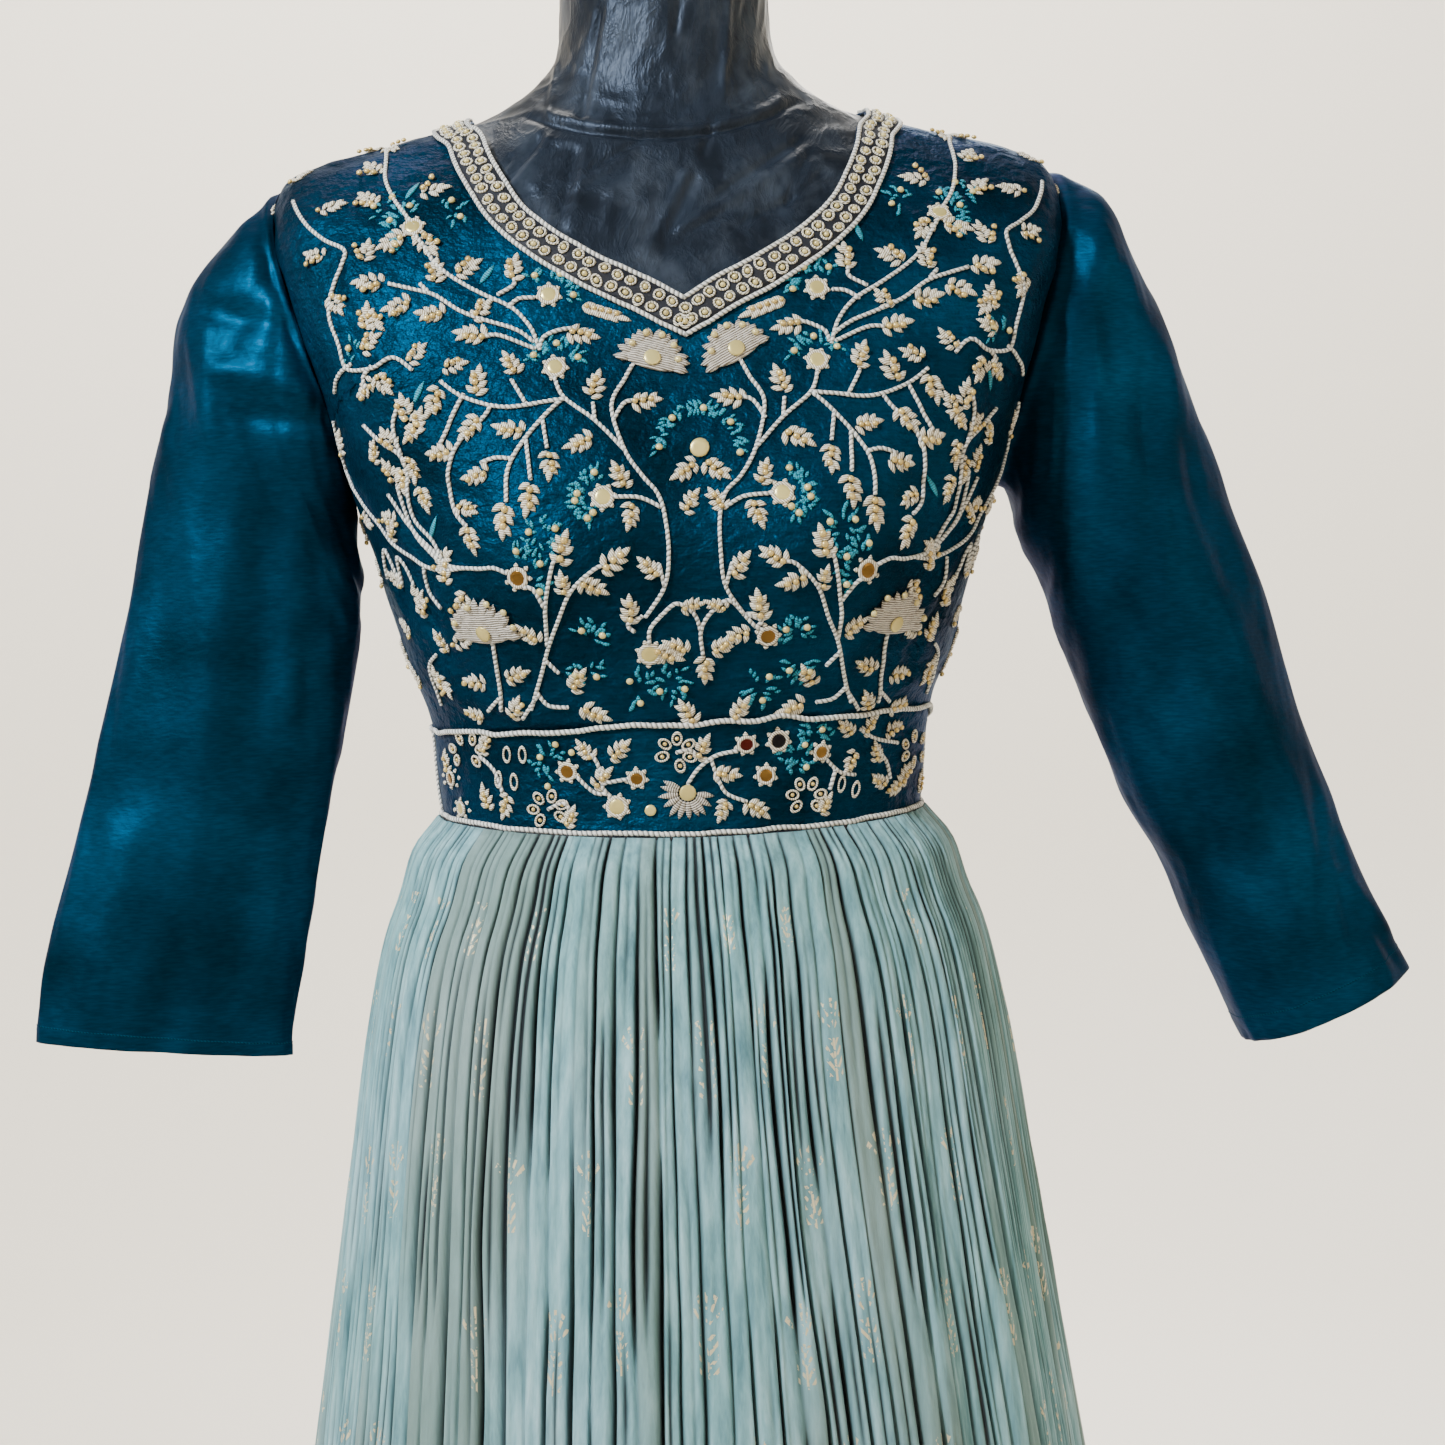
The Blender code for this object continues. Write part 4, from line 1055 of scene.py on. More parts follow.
def skirt_panel(name, node, first, heights):
    """A panel, whose knots are the ridges (even) and valleys (odd) round the skirt. Each
    knot has a slit: the height is a flat top less the slit's bell. Noise says how deep each
    slit is at each level, so that pleats merge and part as they fall."""
    towards = -1 if first < 0 else 1
    last = first + 2 * GATHERS_PER_PANEL
    knot, own = pleat_columns(first, last)
    knots = np.arange(first, last + 1, dtype=float)
    between_seams = (knots > first) & (knots < last)
    level, drop = skirt_levels(heights)[:, None], np.asarray(heights, float)[:, None]
    inside = soft_step(np.minimum(knot - first, last - knot), 0, 2)
    wander = np.interp(knot, knots, 0.28 * uneven(knots, 3) * between_seams)
    sway = 0
    for far, fine, start, tall, seed in SWAYS:
        sway = sway + far * soft_noise(knot * fine + start, drop / tall, seed)
    sway = sway * inside * (0.25 + 0.75 * soft_step(level, 0.2, 2.5))
    turn = (knot + wander * np.clip(level - 0.4, 0, 3) / 3 + sway) * QUARTER / GATHERS_PER_PANEL
    ridges = knots[::2]
    tops = 1.05 + 0.55 * uneven(ridges, 1) * between_seams[::2]
    rolling = soft_noise(knot * 0.5 + 200, drop / 120, 43)
    top = np.interp(knot, ridges, tops) + 0.45 * inside * rolling
    deep = np.where(np.abs(own) % 2 > 0, 1 + 0.35 * uneven(own, 1), -0.2)
    bell = slits(knot, own, first, last, drop)
    crinkle = soft_noise(knot * 1.9 + 400, drop / 42, 44) * 0.14 * inside
    height = top + crinkle - (top + deep) * bell
    smooth = np.moveaxis(along_rows(SKIRT, level[:, 0])[:, None, :], -1, 0)
    relief = height * np.maximum(smooth[5], 1.1)
    for count, part, start in SKIRT_FOLDS:
        relief = relief + smooth[6] * part * np.cos(count * turn + start)
    x, y, _ = oval(turn, *smooth[1:5])
    depth = np.where(np.cos(turn) > 0, smooth[2], smooth[3])
    normal_x, normal_y = np.sin(turn) / smooth[1], -np.cos(turn) / depth
    out = relief / np.hypot(normal_x, normal_y)
    x, y = x + normal_x * out, y + normal_y * out + towards * SEAM / 2
    hang = (band_foot(turn) - BAND_FOOT_Z) * (1 - soft_step(SKIRT_TOP_Z - drop, 0, 90))
    z = np.where(drop >= SKIRT_TOP_Z, band_foot(turn) - SEAM, drop + hang)
    points = np.stack([x, y, z], -1).reshape(-1, 3)
    across = np.broadcast_to(knot * CLOTH_PER_GATHER / 2, x.shape)
    uv = np.stack([across, np.broadcast_to((drop - HEM_Z) * MM, x.shape)], -1).reshape(-1, 2)
    faces = facing_out(points, grid_faces(*x.shape), points * (1, 1, 0))
    # how deep in a slit each point is, which the material darkens as painted shade
    made = {"valley": np.clip(bell * 1.7 - 0.15, 0, 1).ravel()}
    # each pleat's painted shade, by which the material greys it
    made["painted_pleat_shade"] = painted_pleat_shade(knot, drop).ravel()
    piece = make_piece(name, points, faces, CREPE, "powder_blue_crepe", uv, made)
    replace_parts(piece, node)
    print(name, x.shape, round(sheet_area(points, faces), 3), "m2")
    return thicken(piece, 0.4)


front_heights = [1067.5, 1064, 1060, 1056, 1051, 1046, 1040, 1033, *np.linspace(1025, 740, 38)]
front_heights += list(np.linspace(714, HEM_Z, 24))
back_heights = [1067.5, 1062, 1056, 1048, 1040, 1030, *np.linspace(1018, 740, 18)]
back_heights += list(np.linspace(712, HEM_Z, 20))
skirt_front = skirt_panel("skirt_front_crepe", "skirt_front", -GATHERS_PER_PANEL, front_heights)
skirt_back = skirt_panel("skirt_back_crepe", "skirt_back", GATHERS_PER_PANEL, back_heights)

# %% [markdown]
# ## The dress form
#
# The form is the figure itself, from the seat to the top of the neck, under a thin black
# cover. The cover is pulled in where the neck joins the body, has a small roll above that
# seam, and creases where it is stretched over the chest.


# %% Form
# creases of the cover, seen from the front: x and z to x and z, half width, height in mm
FORM_CREASES = [
    (-64, 1389, -84, 1362, 2.2, -2.2), (-60, 1389, -78, 1364, 3.0, 1.4),
    (-77, 1381, -87, 1368, 1.6, -1.4), (-47, 1381, -56, 1342, 2.0, -1.8),
    (-42, 1378, -50, 1346, 3.0, 1.2), (-18, 1385, -38, 1373, 2.0, -1.6),
    (-24, 1378, -44, 1366, 2.6, 1.2), (4, 1368, -15, 1329, 1.8, 2.2),
    (8, 1366, -9, 1330, 2.2, -1.6), (13, 1379, 18, 1394, 2.0, -1.5),
    (58, 1385, 18, 1357, 2.0, -1.7), (62, 1380, 24, 1352, 2.4, 1.1),
    (63, 1379, 51, 1354, 1.8, -1.4), (52, 1355, 28, 1342, 2.0, -1.4),
    (68, 1368, 43, 1345, 2.0, -1.3), (28, 1357, 1, 1342, 2.4, 1.4),
    (22, 1350, 0, 1336, 1.8, -1.2), (-66, 1366, -58, 1350, 1.6, 1.2),
    (-33, 1452, -43, 1402, 1.8, -1.6), (-29, 1452, -38, 1404, 2.4, 1.1),
    (-54, 1432, -58, 1405, 1.8, 1.2), (12, 1490, 2, 1440, 2.0, -1.2),
    (30, 1470, 24, 1412, 2.0, 1.2), (44, 1500, 36, 1450, 1.8, -1.3),
    (-12, 1500, -22, 1462, 2.2, 1.3), (-30, 1360, -34, 1344, 1.6, 1.3),
    (40, 1368, 34, 1352, 1.6, 1.0),
]


NECK_SEAM_ROW, NECK_SEAM_RISE = 4.05, 0.5


def form_cover_surface(turn, row):
    """The figure's own surface, leaned, with the neck seam as a groove and creases."""
    base = figure_point(turn, row, FORM_CUP_FORWARD)
    x, z = base[..., 0], base[..., 2]
    seam = NECK_SEAM_ROW - NECK_SEAM_RISE * np.clip(np.sin(turn), 0, 1)
    strong = soft_step(np.abs(np.cos(turn)), 0.45, 0.75)
    groove = -1.6 * strong * np.exp(-(((row - seam) / 0.1) ** 2))
    roll = 1.3 * strong * np.exp(-(((row - seam + 0.28) / 0.16) ** 2))
    long_creases = soft_noise(turn * 5 + row * 1.6 + 90, row * 1.1 - turn * 2.0 + 40, 51)
    fine = soft_noise(turn * 13 + 70, row * 4 + 50, 52)
    crease = 1.1 * (1 - np.abs(long_creases) * 2) + 0.45 * fine
    bare = 1 - soft_step(row, 6.4, 7.0) * 0.999
    placed = crease_height(x, z, FORM_CREASES) * np.clip(np.cos(turn) * 4, 0, 1)
    height = groove + roll + (np.clip(crease, -1.2, 1.2) * 0.38 + placed) * bare
    return leaned(base + figure_normal(turn, row) * height[..., None])


def form():
    """Points of the cover from the neck's top to the seat, its faces, and rings that shrink
    to a point above and below it."""
    rows = np.concatenate([np.linspace(0, 7.4, 150), np.linspace(7.6, 22, 40)])[:, None]
    turn = np.linspace(0, 2 * math.pi, 320, endpoint=False)[None, :]
    turn, rows = np.broadcast_arrays(turn, rows)
    points = form_cover_surface(turn, rows)
    count = points.shape[1]
    outwards = points - np.array([0, 0, 1.0]) * points[..., 2:3]
    faces = grid_faces(*turn.shape, round_about=True)
    faces = facing_out(points.reshape(-1, 3), faces, outwards.reshape(-1, 3))
    top, foot = points[0].mean(axis=0), points[-1].mean(axis=0)
    shrink = np.linspace(1, 0, 9)[1:-1, None, None]
    lid = top + (points[0] - top) * shrink + np.array([0, 0, 1.5]) * (1 - shrink)
    floor = foot + (points[-1] - foot) * shrink
    made = [points.reshape(-1, 3), lid.reshape(-1, 3), floor.reshape(-1, 3)]
    all_points = np.concatenate(made + [[top + (0, 0, 1.5)], [foot]])
    return all_points, faces, len(made[0]), count, len(shrink)


def form_piece():
    """The form's cover as one closed mesh, with its lid and its floor."""
    points, faces, body, count, rings = form()
    mesh_faces = [faces]
    index = np.arange(count)
    following = np.roll(index, -1)

    def cap(first, start, tip, flip):
        """Faces between shrinking rings, and the triangles that close them at the tip."""
        loops = [first] + [start + ring * count + index for ring in range(rings)]
        out = []
        for outer, inner in zip(loops[:-1], loops[1:]):
            quad = np.stack([outer[index], outer[following], inner[following], inner[index]], -1)
            out.append(quad[:, ::-1] if flip else quad)
        last = loops[-1]
        tip_row = np.full(count, tip)
        tri = np.stack([last[index], last[following], tip_row, tip_row], -1)
        return out, tri[:, ::-1] if flip else tri

    top_quads, top_tip = cap(index, body, len(points) - 2, False)
    low_quads, low_tip = cap(body - count + index, body + rings * count, len(points) - 1, True)
    mesh_faces += top_quads + low_quads
    piece = make_piece("form_cover", points, np.concatenate(mesh_faces), VINYL, "form_cover")
    build = bmesh.new()
    build.from_mesh(piece.data)
    build.verts.ensure_lookup_table()
    for tri in (top_tip, low_tip):
        for row in tri:
            corners = list(dict.fromkeys(row.tolist()))
            build.faces.new([build.verts[k] for k in corners]).smooth = True
    bmesh.ops.recalc_face_normals(build, faces=build.faces)
    build.to_mesh(piece.data)
    build.free()
    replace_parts(piece, "form_torso")
    return piece


form_cover_piece = form_piece()
print("form cover:", len(form_cover_piece.data.polygons), "faces")
for node in ("form_flange", "stand_pole", "stand_base"):
    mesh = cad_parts[node].data
    for slot in range(max(len(mesh.materials), 1)):
        if slot < len(mesh.materials):
            mesh.materials[slot] = STEEL
        else:
            mesh.materials.append(STEEL)

# %% [markdown]
# ## Laying stitches on the cloth
#
# Couched embroidery is thousands of small parts that all follow the cloth. A part is drawn
# flat, in millimetres across and up, and then each of its points is walked over the curved
# cloth by that distance. So one small drawing serves for every petal, bead or ring.


# %% Walking over the cloth
def smooth_cloth(turn, row):
    """The cloth without its puckers: the figure, moved out by the cloth's own distance."""
    return figure_point(turn, row) + figure_normal(turn, row) * CLOTH_OUT


def slopes(turn, row):
    """How far the cloth's point moves for a change of its turn and of its row."""
    by_turn = (smooth_cloth(turn + 0.01, row) - smooth_cloth(turn - 0.01, row)) / 0.02
    by_row = (smooth_cloth(turn, row + 0.01) - smooth_cloth(turn, row - 0.01)) / 0.02
    return by_turn, by_row


def walked_to(turn, row, target, steps):
    """Turn and row of the cloth point nearest to a target: each step solves the two slopes'
    equations for the distance that is still missing (Newton's way)."""
    for _ in range(steps):
        miss = target - smooth_cloth(turn, row)
        by_turn, by_row = slopes(turn, row)
        pairs = (by_turn, by_turn), (by_turn, by_row), (by_row, by_row)
        tt, tr, rr = ((p * q).sum(-1) for p, q in pairs)
        mt, mr = (miss * by_turn).sum(-1), (miss * by_row).sum(-1)
        size = tt * rr - tr * tr
        turn, row = turn + (rr * mt - tr * mr) / size, row + (tt * mr - tr * mt) / size
    return turn, row


def on_cloth(turn, row, across, up, lift):
    """Points that lie across and up mm from places on the cloth, and lift mm above it."""
    turn, row = turn[:, None], row[:, None]
    aside = unit(slopes(turn, row)[0])
    upwards = unit(np.cross(figure_normal(turn, row), aside))
    target = smooth_cloth(turn, row) + aside * across[..., None] + upwards * up[..., None]
    turn, row = walked_to(turn + 0 * across, row + 0 * across, target, 2)
    return cloth_at(turn, row, CLOTH_OUT + lift)


heaps = {}


def lay(kind, shape, places, angle, size, lift=0.0):
    """Adds copies of a flat-drawn shape to a heap. Each is scaled, turned and laid at its
    place, a turn and a row. An angle of 90 points its length up, and 0 to wearer's left."""
    points, faces = shape
    places = np.atleast_2d(places)
    count = len(places)
    angle = np.radians(np.broadcast_to(angle, count).astype(float) - 90)[:, None]
    size = np.broadcast_to(np.asarray(size, float), (count, 3))
    lift = np.broadcast_to(lift, count).astype(float)[:, None]
    flat = points[None] * size[:, None]
    across = flat[..., 0] * np.cos(angle) - flat[..., 1] * np.sin(angle)
    up = flat[..., 0] * np.sin(angle) + flat[..., 1] * np.cos(angle)
    laid = on_cloth(places[:, 0], places[:, 1], across, up, flat[..., 2] + lift)
    heaps.setdefault(kind, []).extend(
        (laid[k], faces, flat[k][:, :2] * MM) for k in range(count)
    )


def seen(*points):
    """Turns and rows of points given as x and z in mm, as seen from the front."""
    x, z = np.array(points, float).T
    return np.stack(seen_from_front(x, z), -1)


def sewn(kind, name, material, slot):
    """Everything of one kind, as one piece."""
    points, faces, uvs, start = [], [], [], 0
    for here, triangles, uv in heaps[kind]:
        points.append(here)
        faces.append(triangles + start)
        uvs.append(uv)
        start += len(here)
    made = np.concatenate(points), np.concatenate(faces), material, slot, np.concatenate(uvs)
    print(name, len(points), "parts,", len(made[1]), "triangles")
    return make_piece(name, *made)


# %% [markdown]
# ## The flat drawings
#
# Every stitched or beaded part starts from four closed shapes: a pointed petal, a bead, a
# disc and a ring. A leaf is seven petals round its rib with gold beads on it, and a lotus is
# a fan of petals over a round body. A few variants of each, a little crooked, stop the eye
# from seeing copies.


# %% Petal, bead, disc and ring
def triangles(quads):
    """Each four-sided face as two triangles."""
    return np.concatenate([quads[:, :3], quads[:, [0, 2, 3]]])


def twice_closed(rows, columns):
    """Triangles of a grid that is closed round both ways."""
    quads = grid_faces(rows, columns, round_about=True)
    first = np.arange(columns)
    last = (rows - 1) * columns + first
    joint = np.stack([last, np.roll(last, -1), np.roll(first, -1), first], -1)
    return triangles(np.concatenate([quads, joint]))


def closed_solid(rings, first, last):
    """Points and triangles of a stack of rings, closed by a point at each end."""
    count, sides = rings.shape[:2]
    points = np.concatenate([rings.reshape(-1, 3), [first], [last]])
    quads = grid_faces(count, sides, round_about=True)
    k, after = np.arange(sides), np.roll(np.arange(sides), -1)
    far = (count - 1) * sides
    ends = [
        np.stack([k, np.full(sides, len(points) - 2), after], -1),
        np.stack([k + far, after + far, np.full(sides, len(points) - 1)], -1),
    ]
    return facing_away(points, np.concatenate([triangles(quads), *ends]))


def facing_away(points, faces):
    """The same triangles, turned so that the volume they close is positive."""
    a, b, c = (points[faces[:, k]] for k in range(3))
    return points, faces if (a * np.cross(b, c)).sum() > 0 else faces[:, ::-1]


def turned_shape(profile, sides):
    """A shape turned on a lathe: its profile is radius and height from foot to top."""
    angle = np.linspace(0, 2 * math.pi, sides, endpoint=False)[None, :]
    radius, height = (np.array(profile, float)[1:-1, k, None] for k in (0, 1))
    rings = [radius * np.cos(angle), radius * np.sin(angle), height + 0 * angle]
    ends = (0, 0, profile[0][1]), (0, 0, profile[-1][1])
    return closed_solid(np.stack(rings, -1), *ends)


def petal(sides):
    """One long, wide and high: the width swells with the sine of the way along."""
    way = np.array([0.16, 0.46, 0.76])[:, None]
    swell = np.array([0.62, 1.0, 0.66])[:, None]
    angle = np.linspace(0, 2 * math.pi, sides, endpoint=False)[None, :]
    rings = [0.5 * swell * np.cos(angle), way + 0 * angle, swell * (0.42 + 0.58 * np.sin(angle))]
    return closed_solid(np.stack(rings, -1), (0, 0, 0.1), (0, 1, 0.05))


def ring(thick, sides, around):
    """A ring of radius 1 whose round section has the radius thick."""
    along = np.linspace(0, 2 * math.pi, sides, endpoint=False)[:, None]
    section = np.linspace(0, 2 * math.pi, around, endpoint=False)[None, :]
    radius = 1 + thick * np.cos(section)
    points = [radius * np.cos(along), radius * np.sin(along), thick * np.sin(section) + 0 * along]
    return facing_away(np.stack(points, -1).reshape(-1, 3), twice_closed(sides, around))


def moved(shape, size, angle=90.0, place=(0, 0, 0)):
    """A copy of a shape in the flat: scaled, turned to its angle and moved."""
    points, faces = shape
    points = points * size
    swing = math.radians(angle - 90)
    x = points[:, 0] * math.cos(swing) - points[:, 1] * math.sin(swing)
    y = points[:, 0] * math.sin(swing) + points[:, 1] * math.cos(swing)
    return np.stack([x, y, points[:, 2]], -1) + place, faces


def joined(shapes):
    """Several shapes as one."""
    starts = np.cumsum([0] + [len(points) for points, _ in shapes[:-1]])
    faces = [faces + start for (_, faces), start in zip(shapes, starts)]
    return np.concatenate([points for points, _ in shapes]), np.concatenate(faces)


PETAL, RING = petal(6), ring(0.24, 12, 5)
BEAD = turned_shape([(0, -1), (0.7, -0.7), (1, 0), (0.7, 0.7), (0, 1)], 8)
DISC = turned_shape([(0, 0), (0.96, 0.1), (1, 0.6), (0.88, 1), (0.5, 1.1), (0, 1.1)], 14)
chance = np.random.default_rng(7)


def leaf():
    """Seven petals in mm: three pairs that point forwards along the rib, and the tip."""
    parts = []
    for foot, long, wide, slant in ((1.2, 6.4, 3.2, 56), (4.6, 6.6, 3.3, 48), (8.0, 6.0, 3.1, 38)):
        for side in (-1, 1):
            angle = 90 + side * (slant + chance.uniform(-7, 7))
            scale = (wide, long * chance.uniform(0.88, 1.1), 1.5)
            place = (0, foot + side * 0.5 + chance.uniform(-0.4, 0.4), 0)
            parts.append(moved(PETAL, scale, angle, place))
    parts.append(moved(PETAL, (3.3, 7.4, 1.7), 90 + chance.uniform(-8, 8), (0, 9.0, 0)))
    return joined(parts)


LEAVES = [leaf() for _ in range(5)]
pairs = [(foot, 90 + side * 24) for foot in (1, 5, 9, 13) for side in (-1, 1)]
LONG_LEAF = joined(
    [moved(PETAL, (3.4, 7.0, 1.4), angle, (0, foot, 0)) for foot, angle in pairs]
    + [moved(PETAL, (3.4, 9.0, 1.4), 90, (0, 16, 0))]
)
print("a leaf has", len(LEAVES[0][1]), "triangles")

# %% [markdown]
# ## Motifs
#
# A leaf, a lotus, a blossom with its mirror and half wreath, a cluster of loops and a mirror
# in a stitched rim: each is laid by one call. Angles are in degrees, 90 is up and 0 points to
# the wearer's left, which is the right of the picture.


# %% Leaves, lotuses, blossoms and mirrors
HALF_LEAF = 7.5


def beside(x, z, angle, far):
    """The point that is far mm from x and z, in the direction of an angle in degrees."""
    away = math.radians(angle)
    return x + far * math.cos(away), z + far * math.sin(away)


def put_leaf(x, z, angle, size):
    """A leaf whose middle is at x and z; beads run down its rib."""
    along = np.array(beside(0, 0, angle, 1))
    x, z = np.array([x, z]) - along * HALF_LEAF * size
    shape = LEAVES[chance.integers(len(LEAVES))]
    lay("petals", shape, seen((x, z)), angle, (size, size, 1.0), 0.1)
    rib = np.array([3.0, 6.4, 9.8])[:, None] * size * along + (x, z)
    rib = rib + chance.uniform(-0.5, 0.5, rib.shape)
    lay("gold", BEAD, seen(*rib), 90, np.array([(1.6, 1.6, 1.2)] * 3) * size, 1.6)


def put_long_leaf(x, z, angle):
    """A slender leaf of nine petals and five beads."""
    lay("petals", LONG_LEAF, seen((x, z)), angle, (1.0, 1.0, 1.0), 0.1)
    along = np.array(beside(0, 0, angle, 1))
    rib = np.array([3, 6.5, 10, 13.5, 17])[:, None] * along + (x, z)
    lay("gold", BEAD, seen(*rib), 90, (1.3, 1.3, 1.1), 1.5)


def put_lotus(x, z, angle, size=1.0):
    """A fan: its body is a disc with its lower half pressed flat, edged with petals in two
    rows, with beads between their tips and a gold mirror at its foot."""
    body = DISC[0] * (12.5, 12.5, 1.9)
    body[:, 1] = np.where(body[:, 1] < 0, body[:, 1] * 0.28, body[:, 1] * 1.05)
    parts = [(body, DISC[1])]
    for spread, foot, long, wide, count in ((92, 8.2, 8.2, 4.4, 13), (74, 3.6, 8.4, 4.6, 9)):
        for part in np.linspace(-spread, spread, count):
            crooked = part + chance.uniform(-3, 3)
            heading = math.radians(90 + crooked)
            place = (foot * math.cos(heading) * 1.12, foot * math.sin(heading), 0.7)
            scale = (wide, long * chance.uniform(0.9, 1.1), 1.9)
            parts.append(moved(PETAL, scale, 90 + crooked, place))
    lay("lotus", joined(parts), seen((x, z)), angle, (size, size, 1.0))
    for part, far in ((-72, 12), (-40, 12.6), (-8, 13), (24, 13), (60, 12)):
        spot = beside(x, z, angle + part, far * size)
        lay("pearls", BEAD, seen(spot), 90, (1.7, 1.7, 1.3), 2.6)
    lay("mirrors", DISC, seen(beside(x, z, angle, 1.5)), angle, (3.9, 3.9, 0.8), 2.4)


def put_mirror(x, z, radius, kind="mirrors", rim=True):
    """A round foil mirror, mostly in a rim of couched cord with little stitched scallops."""
    here = seen((x, z))
    lay(kind, DISC, here, 90, (radius, radius, 0.9), 0.5)
    if rim:
        lay("coils", RING, here, chance.uniform(0, 90), (radius + 0.5, radius + 0.5, 3.2), 0.8)
        for turn in np.arange(7) * 360 / 7 + chance.uniform(0, 50):
            spot = beside(x, z, turn, radius + 0.4)
            lay("petals", PETAL, seen(spot), turn, (2.4, 2.5, 1.2), 0.1)


def put_wreath(x, z, facing, radius, spread, count, beads):
    """Turquoise stitches in part of a ring round x and z, in ragged groups, with pearls."""
    for part in np.linspace(-spread, spread, count):
        if chance.random() < 0.15:
            continue
        turn = facing + part
        for far in (radius, radius + 2.2, radius + 4.2):
            spot = beside(x, z, turn + chance.uniform(-4, 4), far)
            size = (chance.uniform(1.4, 2.3), chance.uniform(3, 5), 1.0)
            lay("turquoise", PETAL, seen(spot), turn + chance.uniform(-60, 60), size)
    for part in beads:
        spot = beside(x, z, facing + part, radius + 3.2)
        lay("pearls", BEAD, seen(spot), 90, (1.75, 1.75, 1.3), 0.9)


def put_blossom(x, z, facing, kind):
    """A mirror in its rim, with a half wreath on the side away from its stem."""
    put_mirror(x, z, 3.7, kind)
    put_wreath(x, z, facing, 8.0, 70, 12, (-62, 0, 62))


def put_loops(x, z, facing):
    """Loops of cord with a bead in each, round three quarters of a small circle."""
    for turn in facing + np.linspace(-135, 135, 6):
        spot = seen(beside(x, z, turn, 6.6))
        lay("coils", RING, spot, turn, (2.1, 2.9, 2.6), 0.8)
        lay("gold", BEAD, spot, 90, (1.1, 1.1, 0.9), 0.7)


print("motifs ready")

# %% [markdown]
# ## The layout of the bodice
#
# The stems and motifs are laid out for the wearer's left half, as x and z in mm, and
# repeated in mirror image for the right half, each a little off, as hand work is. The
# places of bends, leaves and flowers were read from the photo at single points and rounded
# to whole millimetres. The leaves, lotuses and blossoms themselves are plain drawings.

# %% Stems and motifs of the bodice
STEMS = [
    [
        (24, 1276), (28, 1268), (34, 1256), (29, 1235), (22, 1223), (15, 1216), (12, 1206),
        (12, 1189), (14, 1176), (22, 1164),
    ],
    [(29, 1235), (42, 1249), (55, 1260), (59, 1271)],
    [(55, 1260), (65, 1259), (83, 1258), (100, 1264), (110, 1271)],
    [(55, 1260), (65, 1251), (74, 1240), (80, 1229), (81, 1214)],
    [(65, 1251), (63, 1238)],
    [(72, 1243), (71, 1224)],
    [(88, 1258), (92, 1253), (103, 1240), (106, 1225), (104, 1212), (99, 1206)],
    [(15, 1210), (23, 1214), (36, 1215)],
    [(40, 1186), (45, 1185), (55, 1175), (60, 1162), (65, 1151), (68, 1138), (72, 1123)],
    [(60, 1189), (62, 1187), (65, 1171), (66, 1162), (65, 1152)],
    [(75, 1179), (71, 1176), (66, 1169)],
    [(90, 1158), (88, 1146), (86, 1122)],
    [(81, 1184), (88, 1187), (96, 1187), (109, 1191), (120, 1202), (126, 1213), (129, 1227)],
    [(66, 1283), (70, 1294), (78, 1303), (93, 1312), (110, 1325), (116, 1334), (121, 1342)],
    [(68, 1288), (78, 1294), (100, 1303), (114, 1312), (133, 1318)],
    [(68, 1284), (83, 1290), (91, 1290)],
    [(65, 1284), (63, 1289), (54, 1293), (49, 1292)],
    [(122, 1346), (129, 1355), (134, 1369), (135, 1384), (137, 1392)],
    [
        (178, 1365), (171, 1350), (162, 1342), (153, 1335), (156, 1323), (159, 1306), (155, 1293),
        (151, 1282), (139, 1280), (130, 1284), (123, 1278),
    ],
    [(100, 1264), (106, 1250), (110, 1243)],
    [(34, 1249), (29, 1257), (24, 1259)],
    [(42, 1249), (43, 1258)],
    [(72, 1259), (76, 1266), (78, 1270)],
    [(92, 1232), (85, 1234), (79, 1233)],
    [(84, 1309), (76, 1314), (76, 1318)],
    [(114, 1313), (118, 1317)],
    [(68, 1308), (74, 1307), (80, 1303)],
    [(118, 1188), (116, 1178), (111, 1171)],
    [(150, 1283), (155, 1279), (159, 1272)],
    [(140, 1280), (143, 1277), (142, 1271)],
    [(144, 1255), (135, 1246), (128, 1239), (125, 1230), (122, 1212), (115, 1201), (109, 1191)],
    [(129, 1262), (131, 1252), (128, 1240)],
    [(134, 1224), (122, 1204), (110, 1192)],
    [(70, 1129), (76, 1119)],
    [(56, 1123), (64, 1125), (70, 1130)],
    [(86, 1128), (92, 1122)],
    [(23, 1164), (30, 1161), (27, 1158)],
    [(14, 1176), (17, 1186)],
    [(66, 1146), (60, 1140)],
]
